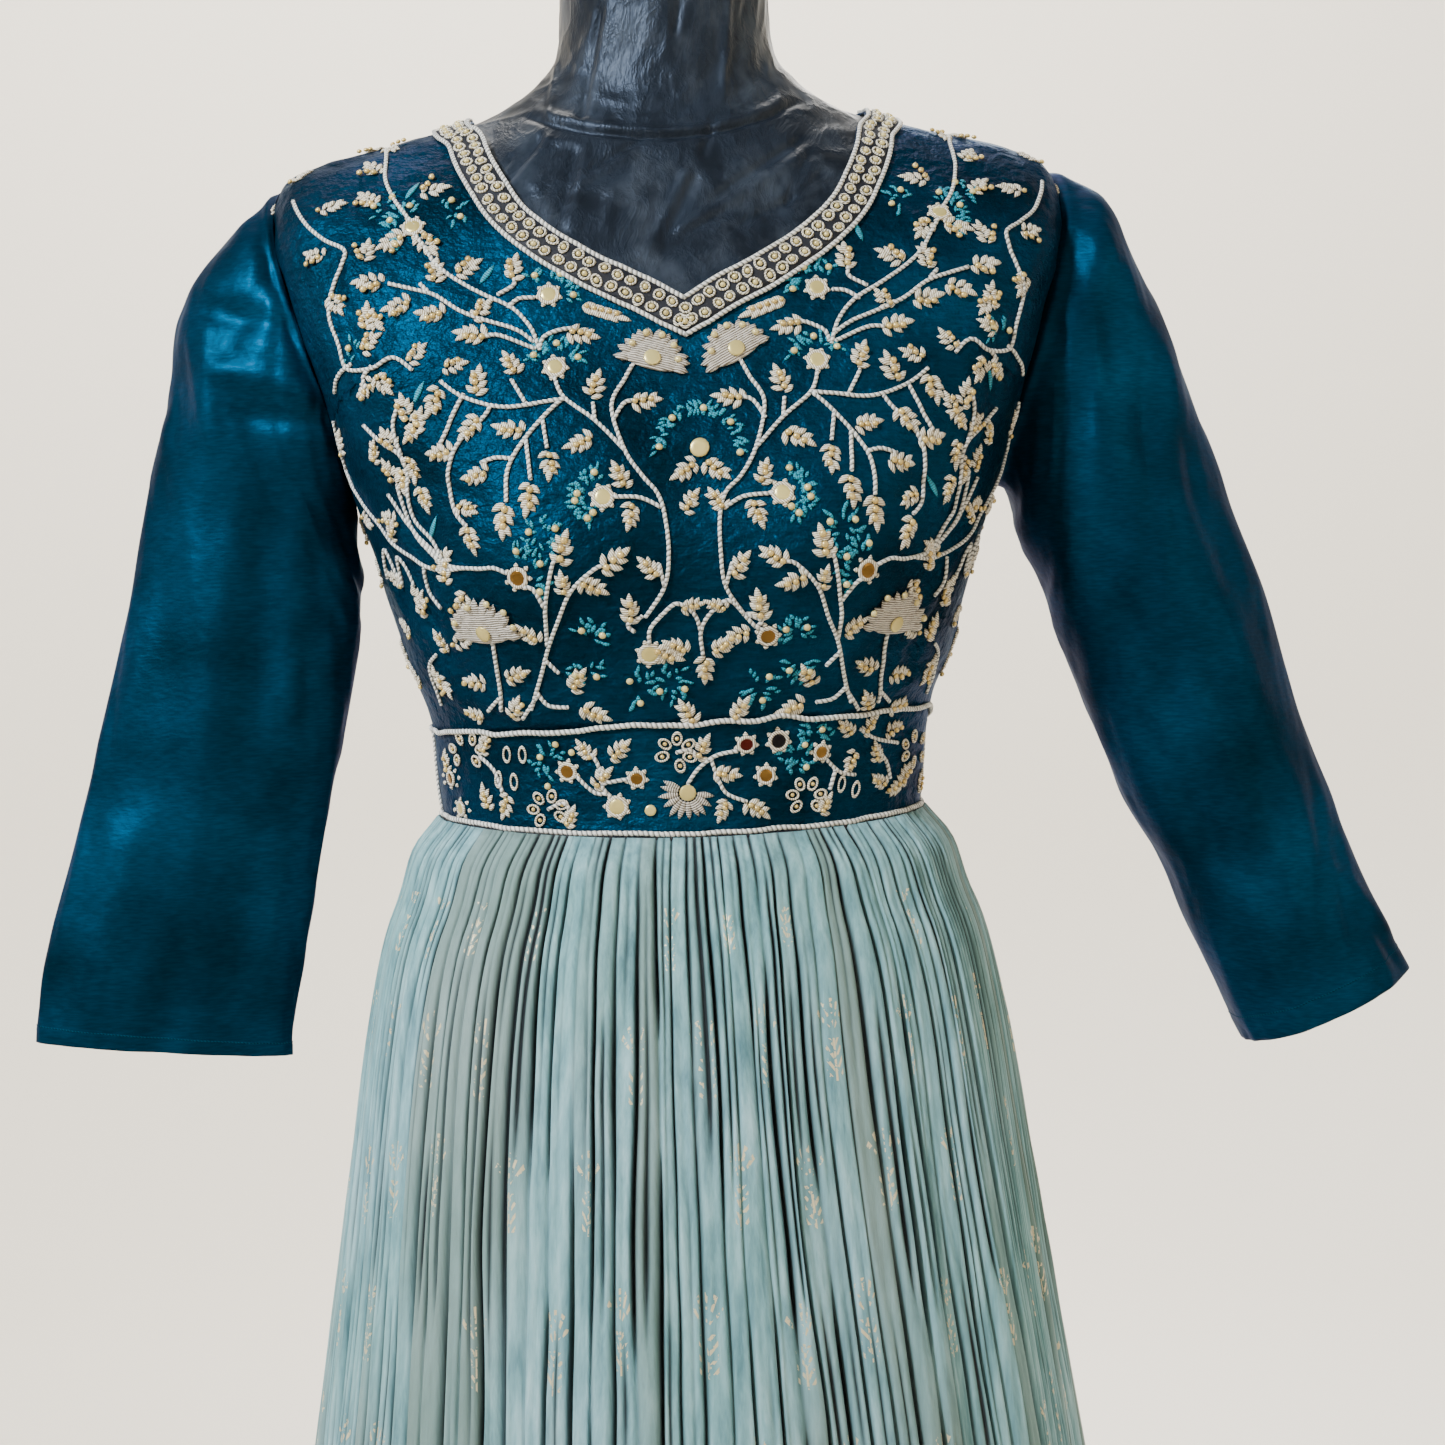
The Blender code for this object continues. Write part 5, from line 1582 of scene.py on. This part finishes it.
# x, z, angle and size of each leaf
LEAF_PLACES = [
    (80, 1246, 8, 1), (94, 1227, -12, 1), (97, 1247, -60, 1), (96, 1199, -115, 1),
    (110, 1238, -5, 1), (42, 1266, 105, 0.95), (49, 1240, -25, 1), (79, 1277, 60, 0.95),
    (95, 1271, 92, 1), (19, 1259, 175, 1), (32, 1224, 70, 0.9), (29, 1207, -75, 0.9),
    (81, 1206, -92, 1.1), (61, 1229, -95, 1), (70, 1215, -85, 1.05), (36, 1189, 145, 1),
    (58, 1195, 105, 1.05), (44, 1177, 205, 0.95), (57, 1180, 85, 0.8), (28, 1167, 92, 1),
    (51, 1136, 132, 0.95), (72, 1158, 45, 0.9), (104, 1171, -60, 0.95), (99, 1135, 12, 0.95),
    (77, 1140, 160, 0.95), (99, 1119, 20, 0.9), (78, 1124, 125, 0.9), (44, 1121, 205, 1),
    (20, 1185, 50, 0.9), (47, 1291, 186, 1), (97, 1290, 0, 1.05), (92, 1305, 110, 0.85),
    (99, 1326, 130, 0.95), (77, 1323, 80, 1), (115, 1323, 70, 0.95), (113, 1301, -5, 1),
    (127, 1305, -40, 1), (141, 1316, -20, 1), (115, 1369, 125, 1), (146, 1375, 0, 0.95),
    (147, 1358, 5, 1), (112, 1338, 200, 0.95), (129, 1335, -50, 1), (104, 1279, 150, 0.85),
    (111, 1262, -85, 1), (130, 1393, 175, 0.85), (147, 1391, -20, 0.85), (146, 1335, 70, 0.9),
    (167, 1333, -30, 0.9), (155, 1313, 200, 0.9), (141, 1293, 120, 0.85), (137, 1303, 200, 0.8),
    (143, 1270, -60, 0.9), (132, 1273, 215, 0.85), (122, 1286, 110, 0.85), (122, 1248, -70, 0.9),
    (128, 1260, 60, 0.9), (122, 1233, -110, 0.9), (117, 1219, 240, 0.9), (98, 1214, 200, 0.8),
    (121, 1255, 95, 0.85), (134, 1246, 35, 0.85), (134, 1233, 60, 0.85), (127, 1228, 245, 0.85),
    (140, 1244, 95, 0.8), (136, 1212, 10, 0.85), (129, 1209, 120, 0.8), (145, 1303, 60, 0.85),
    (112, 1155, 75, 0.9), (119, 1172, 110, 0.9), (107, 1188, 95, 0.9), (113, 1134, 250, 0.85),
]
# x, z, direction of the wreath and kind of mirror of each blossom
BLOSSOMS = [
    (59, 1275, 95, "mirrors"), (40, 1215, 10, "mirrors"), (61, 1309, 120, "mirrors"),
    (77, 1182, 150, "smoked"), (122, 1345, 20, "mirrors"),
]
# x, z, direction and stitch count of each small wreath
WREATHS = [
    (46, 1155, 100, 7), (104, 1352, 150, 5), (135, 1357, 60, 5), (146, 1288, 90, 4),
    (47, 1213, -60, 4), (48, 1140, -90, 6),
]


def on_side(angle, side):
    """A direction in degrees on the wearer's left, or its mirror image on the right."""
    return angle if side > 0 else 180 - angle


for side in (1, -1):
    for stem in STEMS:
        path = np.array(stem, float)
        if side < 0:
            path = (path + chance.uniform(-0.8, 0.8, path.shape)) * (-1, 1)
        heaps.setdefault("stems", []).append(path)
    for x, z, angle, size in LEAF_PLACES:
        drift, swing = chance.uniform(-1.0, 1.0, 2), chance.uniform(-7, 7)
        heading = on_side(angle, side) + swing
        put_leaf((x + drift[0]) * side, z + drift[1], heading, size * chance.uniform(0.94, 1.06))
    for x, z, facing, kind in BLOSSOMS:
        put_blossom(x * side, z, on_side(facing, side), kind)
    put_lotus(92 * side, 1157, 90, 1.15)
    put_long_leaf(47 * side, 1304, on_side(196, side))
    for x, z, facing, count in WREATHS:
        put_wreath(x * side, z, on_side(facing, side), 2.0, 110, count, (-70, 60))

put_lotus(23, 1279, 118)
put_lotus(-16, 1276, 74)
put_mirror(4, 1236, 4.4, rim=False)
put_wreath(4, 1236, 90, 15.0, 92, 25, (-100, -52, -8, 40, 88))
for x, z, angle, size in (
    (11, 1226, -38, 0.95), (-3, 1226, 218, 0.95), (11, 1213, 122, 0.85), (-1, 1213, 60, 0.85),
    (10, 1168, 160, 0.75), (-1, 1168, 15, 0.75), (5, 1139, -92, 0.95), (-3, 1120, 118, 0.95),
    (21, 1121, 62, 0.95), (13, 1150, 30, 0.9), (-8, 1150, 150, 0.9), (19, 1154, 200, 0.9),
    (-12, 1146, -25, 1.0),
):
    put_leaf(x, z, angle, size)
put_mirror(33, 1154, 3.6, "smoked")
put_mirror(-20, 1147, 4.0, "mirrors")
for path in (
    [(22, 1164), (15, 1170), (7, 1164), (3, 1156), (4, 1146)],
    [(-15, 1164), (-8, 1169), (0, 1164), (3, 1156)],
    [(22, 1164), (28, 1158), (33, 1157)],
    [(-15, 1164), (-20, 1158), (-20, 1151)],
    [(21, 1114), (20, 1118)],
    [(-3, 1113), (-3, 1116)],
):
    heaps["stems"].append(np.array(path, float))
for x, z, facing in (
    (-24, 1131, 200), (30, 1131, -20), (-10, 1133, 270), (66, 1200, 90), (-66, 1199, 90),
):
    put_wreath(x, z, facing, 3.0, 150, 7, (-60, 70))
# slim single leaves of bright turquoise satin stitch: x, z, angle, length
for x, z, angle, long in (
    (-126, 1360, 100, 13), (-92, 1316, 70, 12), (-116, 1200, 62, 14), (-122, 1262, 80, 12),
    (84, 1331, 88, 12), (141, 1262, 85, 12), (112, 1214, 118, 12),
):
    lay("turquoise", PETAL, seen((x, z)), angle, (3.2, long, 1.0))
print({kind: len(parts) for kind, parts in heaps.items()})

# %% [markdown]
# ## The waistband's motifs
#
# The band carries loop clusters, leaf groups, a half daisy and small mirrors in stitched
# rims, closer together than on the bodice, and joined by short stems.

# %% Waistband motifs
for x, z, facing in (
    (-103, 1102, 0), (-8, 1101, -30), (-66, 1075, 10), (52, 1078, 0), (108, 1097, 90),
):
    put_loops(x, z, facing + 90)
for x, z, angle, size in (
    (-93, 1106, 60, 0.8), (-49, 1103, 130, 0.8), (-33, 1103, 40, 0.9), (-41, 1090, 50, 0.9),
    (-56, 1071, 60, 0.8), (4, 1103, 70, 0.9), (15, 1090, -10, 0.9), (13, 1073, -115, 0.8),
    (29, 1073, -35, 0.95), (61, 1074, 60, 0.8), (70, 1110, 140, 0.8), (83, 1111, 60, 0.85),
    (97, 1108, 20, 0.85), (74, 1093, 250, 0.85), (86, 1097, 110, 0.8), (95, 1079, 200, 0.85),
    (103, 1085, 60, 0.85), (87, 1083, 150, 0.8), (-86, 1076, 250, 0.9), (-94, 1080, 100, 0.9),
    (-113, 1096, 100, 0.8), (113, 1080, 80, 0.8),
):
    put_leaf(x, z, angle, size)
for x, z, kind, radius in (
    (-57, 1093, "smoked", 3.4), (-26, 1089, "smoked", 3.0), (-35, 1076, "mirrors", 3.9),
    (-20, 1074, "mirrors", 2.7), (24, 1104, "garnet", 3.2), (39, 1105, "night", 3.7),
    (33, 1089, "smoked", 3.2), (59, 1099, "smoked", 3.0), (-106, 1074, "mirrors", 2.8),
    (-111, 1088, "smoked", 2.8),
):
    put_mirror(x, z, radius, kind, rim=kind != "mirrors" or radius > 2.75)
DAISY = (-3, 1082)
for turn in np.linspace(150, 350, 11):
    crooked = turn + chance.uniform(-5, 5)
    size = (3.2, chance.uniform(9, 11), 1.6)
    lay("lotus", PETAL, seen(beside(*DAISY, turn, 3.5)), crooked, size, 0.1)
put_mirror(*DAISY, 3.9, rim=False)
for x, z, angle in (
    (-84, 1101, 80), (-77, 1101, 85), (-88, 1089, 80), (-81, 1088, 85), (76, 1080, 80),
    (69, 1083, 80),
):
    lay("coils", RING, seen((x, z)), angle, (1.9, 3.6, 2.4), 0.7)
for x, z in (
    (-62, 1106), (-55, 1102), (-66, 1086), (59, 1110), (51, 1103), (52, 1092), (-69, 1100),
):
    lay("pearls", BEAD, seen((x, z)), 90, (1.7, 1.7, 1.3), 0.9)
for x, z, facing in ((-66, 1098, 150), (56, 1106, 120), (48, 1098, 200)):
    put_wreath(x, z, facing, 2.5, 120, 7, ())
for path in (
    [(-53, 1091), (-45, 1083), (-39, 1082), (-37, 1079)],
    [(-39, 1082), (-41, 1087), (-29, 1089)],
    [(-41, 1090), (-44, 1098), (-48, 1102)],
    [(-3, 1086), (2, 1093), (10, 1099), (20, 1101)],
    [(8, 1097), (11, 1088), (15, 1081), (24, 1077)],
    [(61, 1096), (68, 1089), (76, 1087)],
    [(66, 1090), (63, 1081)],
    [(-97, 1100), (-90, 1093), (-86, 1083)],
    [(-8, 1101), (-2, 1102), (3, 1098)],
    [(-66, 1075), (-59, 1078), (-56, 1074)],
    [(78, 1109), (86, 1104), (98, 1101)],
    [(86, 1100), (92, 1092), (94, 1084)],
):
    heaps["stems"].append(np.array(path, float))
print("band motifs laid,", len(heaps["stems"]), "stems in all")

# %% [markdown]
# ## Stems and cords
#
# A stem is a twisted cord about 2 mm thick that is couched on the cloth. It is a tube along
# a smooth curve, a little thicker where the strands rise, and pressed flat by its stitches.
# The neckline has a cord on each side of its beaded border, and the waistband has one above
# and one below.


# %% Cords on the cloth
PRESSED, CORD_STEP = 0.85, 0.8


def tube(kind, points, normal, radius, closed=False, pitch=2.4):
    """A cord along points in mm: its section is an oval between the side direction and the
    normal, whose size beats with the twist. UVs run round it and along it in metres."""
    if closed:
        along = unit(np.roll(points, -1, axis=0) - np.roll(points, 1, axis=0))
    else:
        along = unit(np.gradient(points, axis=0))
    aside = unit(np.cross(along, normal))
    upwards = np.cross(aside, along)
    length = lengths_along(points)
    sides = 6
    around = (np.arange(sides) / sides - 0.25) * 2 * math.pi
    thick = radius * (1 + 0.1 * np.sin(2 * math.pi * length / pitch + 1.3))
    across = thick[:, None, None] * np.cos(around)[None, :, None] * aside[:, None]
    rise = thick[:, None, None] * PRESSED * np.sin(around)[None, :, None] * upwards[:, None]
    rings = points[:, None] + across + rise
    round_it, down_it = np.broadcast_arrays(np.arange(sides) / sides, length[:, None] * MM)
    uv = np.stack([round_it, down_it], -1).reshape(-1, 2)
    if closed:
        solid = facing_away(rings.reshape(-1, 3), twice_closed(len(points), sides))
    else:
        ends = points[0] - along[0] * radius * 0.5, points[-1] + along[-1] * radius * 0.5
        solid = closed_solid(rings, *ends)
        uv = np.concatenate([uv, uv[:1], uv[-1:]])
    heaps.setdefault(kind, []).append((*solid, uv))


def evenly(turn, row, step):
    """The same curve in turn and row, at equal steps in mm along the cloth."""
    length = lengths_along(smooth_cloth(turn, row))
    wanted = np.linspace(0, length[-1], max(int(length[-1] / step), 3))
    return np.interp(wanted, length, turn), np.interp(wanted, length, row)


def couch(kind, places, radius, lift):
    """A cord along a smooth curve through places on the cloth."""
    at = np.linspace(0, len(places) - 1, 24 * len(places))
    turn, row = evenly(*along_rows(places, at).T, CORD_STEP)
    tube(kind, cloth_at(turn, row, CLOTH_OUT + lift), figure_normal(turn, row), radius)


for stem in heaps.pop("stems"):
    couch("vines", seen(*stem), 0.98, 0.7)
for points, normals in ((left_points, left_normals), (right_points, right_normals)):
    tube("hems", points[-6] - normals[-6] * 0.1, normals[-6], 0.4, True, 3.4)
# stems and leaves at the sides, by turn in degrees and row; a stem has its radius first
SIDE_STEMS = [
    (0.95, [(74, 11.6), (66, 12.0), (61, 12.3), (57, 12.6), (51, 12.85), (46, 12.95), (41, 12.92)]),
    (0.95, [(68, 13.1), (64, 12.7), (62, 13.2), (59, 12.8), (57, 13.2)]),
    (0.95, [(57, 14.05), (62, 14.25), (64, 14.8)]),
    (0.95, [(66, 11.0), (69, 11.3), (72, 11.6)]),
    (0.9, [(87, 15.25), (88, 15.9), (87, 16.5)]),
]
SIDE_LEAVES = [
    (76, 7.65, 60), (59, 7.62, 120), (80, 8.85, 80), (77, 11.3, 70), (86, 11.9, 60),
    (70, 12.2, 200), (68, 11.4, 110), (47, 12.9, 150), (62, 13.2, 30), (49, 13.9, 170),
    (66, 13.8, 40), (73, 14.5, 60), (78, 13.2, 80), (80, 14.2, 95), (84, 12.6, 70),
    (60, 14.6, 90), (56, 13.5, 70),
]
for hand in (1, -1):
    for radius, side_stem in SIDE_STEMS:
        couch("vines", np.array(side_stem) * (hand * math.pi / 180, 1), radius, 0.7)
    for turn, row, angle in SIDE_LEAVES:
        heading = on_side(angle, hand)
        here = np.array([[math.radians(turn) * hand, row]])
        lay("petals", LEAVES[chance.integers(len(LEAVES))], here, heading, (0.9, 0.9, 1.0), 0.1)
        lay("gold", BEAD, here, 90, (1.3, 1.3, 1.1), 1.5)
print("vines:", len(heaps["vines"]))


# %% Neck border
def neck_line(distance):
    """Turns and rows of half a line round the neck at a distance beside the neckline, from
    the point of the V over the shoulder to centre back."""
    halves = []
    for edge, side in ((front_neckline(121), 1), (back_neckline(61), -1)):
        turn, row = edge.T
        here = smooth_cloth(turn, row)
        along = unit(np.gradient(here, axis=0))
        away = unit(np.cross(along, figure_normal(turn, row))) * side
        away[-1] = (1, 0, 0)
        if side > 0:
            away[0] = (0, 0, -1 / abs(along[0, 0]))
        turn, row = walked_to(turn, row, here + away * distance, 12)
        turn[0], turn[-1] = (0 if side > 0 else math.pi), QUARTER
        halves.append((turn, row))
    front, back = halves
    return [np.concatenate([ahead, behind[-2::-1]]) for ahead, behind in zip(front, back)]


def round_neck(turn, row, lift):
    """Points and normals of a whole line round the neck: one half, then its mirror image."""
    turn, row = np.concatenate([turn, -turn[-2:0:-1]]), np.concatenate([row, row[-2:0:-1]])
    return cloth_at(turn, row, CLOTH_OUT + lift), figure_normal(turn, row)


RING_STEP = 6.75
for distance, kind in ((1.2, "inner"), (17.6, "outer")):
    points, normals = round_neck(*evenly(*neck_line(distance), CORD_STEP), 1.3)
    tube(kind, points, normals, 1.15, closed=True)
print("neck line:", len(points), "steps")

ground = []
for distance in (2.2, 5.7, 9.3, 12.8, 16.4):
    turn, row = neck_line(distance)
    ground.append(round_neck(turn, row, TRIM_LIFT + 0.8))
ground_points = np.stack([points for points, _ in ground])
ground_faces = grid_faces(*ground_points.shape[:2], round_about=True)
outwards = np.concatenate([normals for _, normals in ground])
ground_points = ground_points.reshape(-1, 3)
ground_faces = facing_out(ground_points, ground_faces, outwards)
border = make_piece("neck_border_ground", ground_points, ground_faces, NAVY, "navy_border")
thicken(border, 0.8)
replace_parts(border, "neck_border")
print("border ground", round(sheet_area(ground_points, ground_faces), 4), "m2")

# two rows of coiled rings, 7 mm apart, each round a bead
for distance in (6.0, 12.7):
    turn, row = evenly(*neck_line(distance), RING_STEP)
    if distance > 10:
        turn, row = (turn[1:] + turn[:-1]) / 2, (row[1:] + row[:-1]) / 2
    places = np.stack([turn, row], -1)
    places = np.concatenate([places[turn > 0.004], places[turn < 3.137] * (-1, 1)])
    count = len(places)
    places = places + chance.uniform(-1, 1, (count, 2)) * (0.004, 0.018)
    tilt = chance.uniform(0, 180, count)
    wide, long = chance.uniform(2.0, 2.5, count), chance.uniform(2.3, 2.9, count)
    size = np.stack([wide, long, np.full(count, 2.6)], -1)
    lay("rings", RING, places, tilt, size, TRIM_LIFT + 1.3)
    lay("pearls", BEAD, places, tilt, (1.35, 1.45, 1.3), TRIM_LIFT + 1.6)
spot = seen((0, 1294))
lay("rings", RING, spot, 90, (2.5, 2.8, 2.6), TRIM_LIFT + 1.3)
lay("pearls", BEAD, spot, 90, (1.5, 1.5, 1.2), TRIM_LIFT + 1.5)

# %% Waist cords
whole = np.linspace(-math.pi, math.pi, 1000, endpoint=False)
wave = soft_noise(whole * 28 / math.pi + 40, np.abs(whole) * 0.3, 61)
wave = wave * soft_step(np.cos(whole), -0.95, -0.8)
for kind, height, thick in (
    ("upper", waist_seam(whole) + 1.4 * wave, 1.3),
    ("lower", band_foot(whole) + 1.4 + 0.5 * wave, 1.3),
):
    row = row_at_height(height)
    tube(kind, cloth_at(whole, row, CLOTH_OUT + 1.1), figure_normal(whole, row), thick, True, 3.0)
row = row_at_height(band_foot(whole) - 0.9)
tube("binding", cloth_at(whole, row, CLOTH_OUT + 0.7), figure_normal(whole, row), 1.25, True)
print("waist cords ready")

# %% Sew all kinds
for kind, node in (
    ("inner", "neck_cord_inner"), ("outer", "neck_cord_outer"),
    ("upper", "waist_cord_upper"), ("lower", "waist_cord_lower"),
):
    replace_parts(sewn(kind, node + "_twisted", CORD, "silver_cord"), node)
for kind, name, material, slot in (
    ("vines", "couched_stems", CORD, "silver_cord"),
    ("binding", "skirt_binding", NAVY, "navy_border"),
    ("petals", "stitched_leaves", CHAMPAGNE, "silver_cord"),
    ("lotus", "stitched_lotuses", LOTUS, "silver_cord"),
    ("turquoise", "turquoise_stitches", TURQUOISE, "silver_cord"),
    ("coils", "couched_loops", CHAMPAGNE, "silver_cord"),
    ("rings", "neck_rings", COILED, "silver_cord"),
    ("hems", "sleeve_hem_stitches", SEWING, "teal_satin"),
    ("gold", "gold_beads", GOLD, "gold_bead"),
    ("pearls", "cream_beads", PEARL, "gold_bead"),
    ("mirrors", "gold_mirrors", MIRROR, "mirror_disc"),
    ("smoked", "amber_mirrors", SMOKED, "mirror_disc"),
    ("garnet", "garnet_mirror", GARNET, "mirror_disc"),
    ("night", "dark_mirror", NIGHT, "mirror_disc"),
):
    sewn(kind, name, material, slot)

# %% [markdown]
# ## Room, light and camera
#
# The backdrop is a pale round room with a curved foot, wide enough to stand outside every
# view. A narrow cool lamp up on the left lights the left sleeve and bodice, a weak warm one
# on the right fills the shade, one stands behind and one lights the wall. The camera stands
# where the photographer stood, a little over a metre away.


# %% Stage, light and camera
def stage_room():
    """A floor that curves up into a round wall: a profile of radius and height, turned."""
    bend = np.linspace(0, QUARTER, 10)
    radius = np.concatenate([[0.001, 1.0, 2.0, 2.9], 3.0 + 0.8 * np.sin(bend), [3.8]])
    height = np.concatenate([[0, 0, 0, 0], 0.8 * (1 - np.cos(bend)), [4.2]])
    turn = np.linspace(0, 2 * math.pi, 96, endpoint=False)[None, :]
    x, y = radius[:, None] * np.sin(turn), radius[:, None] * np.cos(turn)
    z = np.broadcast_to(height[:, None], x.shape) - 0.0005
    mesh = bpy.data.meshes.new("pale_room")
    points = np.stack([x, y, z], -1).reshape(-1, 3)
    faces = grid_faces(*x.shape, round_about=True, flip=True)
    mesh.from_pydata(points.tolist(), [], faces.tolist())
    mesh.shade_smooth()
    material = bpy.data.materials.new("painted_wall")
    material.use_nodes = True
    shader = material.node_tree.nodes["Principled BSDF"]
    shader.inputs["Base Color"].default_value = linear("F4F0E8")
    shader.inputs["Roughness"].default_value = 0.9
    mesh.materials.append(material)
    room = bpy.data.objects.new("pale_room", mesh)
    bpy.context.scene.collection.objects.link(room)
    room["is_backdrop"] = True


def lamp(name, place, aim, size, watts, colour, spread=180):
    """A round soft lamp at a place that points at its aim, both in metres."""
    light = bpy.data.lights.new(name, "AREA")
    light.spread = math.radians(spread)
    light.shape, light.size = "DISK", size
    light.energy, light.color = watts, linear(colour)[:3]
    holder = bpy.data.objects.new(name, light)
    bpy.context.scene.collection.objects.link(holder)
    holder.location = place
    holder.rotation_mode = "QUATERNION"
    holder.rotation_quaternion = (Vector(aim) - Vector(place)).to_track_quat("-Z", "Y")


stage_room()
lamp("key_lamp", (-2.1, -2.0, 3.0), (-0.24, 0, 1.27), 0.6, 8.8, "EEF6FF", 36)
lamp("fill_lamp", (1.9, -1.9, 1.6), (0, 0, 1.1), 1.6, 9, "FFF0DC")
lamp("back_lamp", (0.6, 2.4, 2.6), (0, 0, 1.0), 1.2, 30, "FFFDF8")
lamp("wall_lamp", (0.0, 1.3, 3.4), (0, 3.8, 1.3), 1.6, 200, "FFFAF2")
world = bpy.data.worlds.new("soft_daylight")
bpy.context.scene.world = world
world.use_nodes = True
world.node_tree.nodes["Background"].inputs[0].default_value = linear("F3EEE4")
world.node_tree.nodes["Background"].inputs[1].default_value = 0.38

AZIMUTH, CAMERA_DISTANCE, CAMERA_HEIGHT = math.radians(3.5), 1.1, 1.151
AIM_ASIDE, AIM_HEIGHT, ROLL = 0.021, 1.110, math.radians(-1.3)
camera = bpy.data.objects.new("camera", bpy.data.cameras.new("camera"))
bpy.context.scene.collection.objects.link(camera)
back = Vector((-math.sin(AZIMUTH), -math.cos(AZIMUTH), 0)) * CAMERA_DISTANCE
camera.location = back + Vector((0, 0, CAMERA_HEIGHT))
aim = Vector((AIM_ASIDE * math.cos(AZIMUTH), -AIM_ASIDE * math.sin(AZIMUTH), AIM_HEIGHT))
camera.rotation_mode = "QUATERNION"
look = (aim - camera.location).to_track_quat("-Z", "Y").to_matrix() @ Matrix.Rotation(ROLL, 3, "Z")
camera.rotation_quaternion = look.to_quaternion()
camera.data.sensor_width, camera.data.lens = 36, 54.7
bpy.context.scene.camera = camera
print("camera at", [round(v, 3) for v in camera.location])

# %% Finish
seen_box = [list(corner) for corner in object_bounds()]
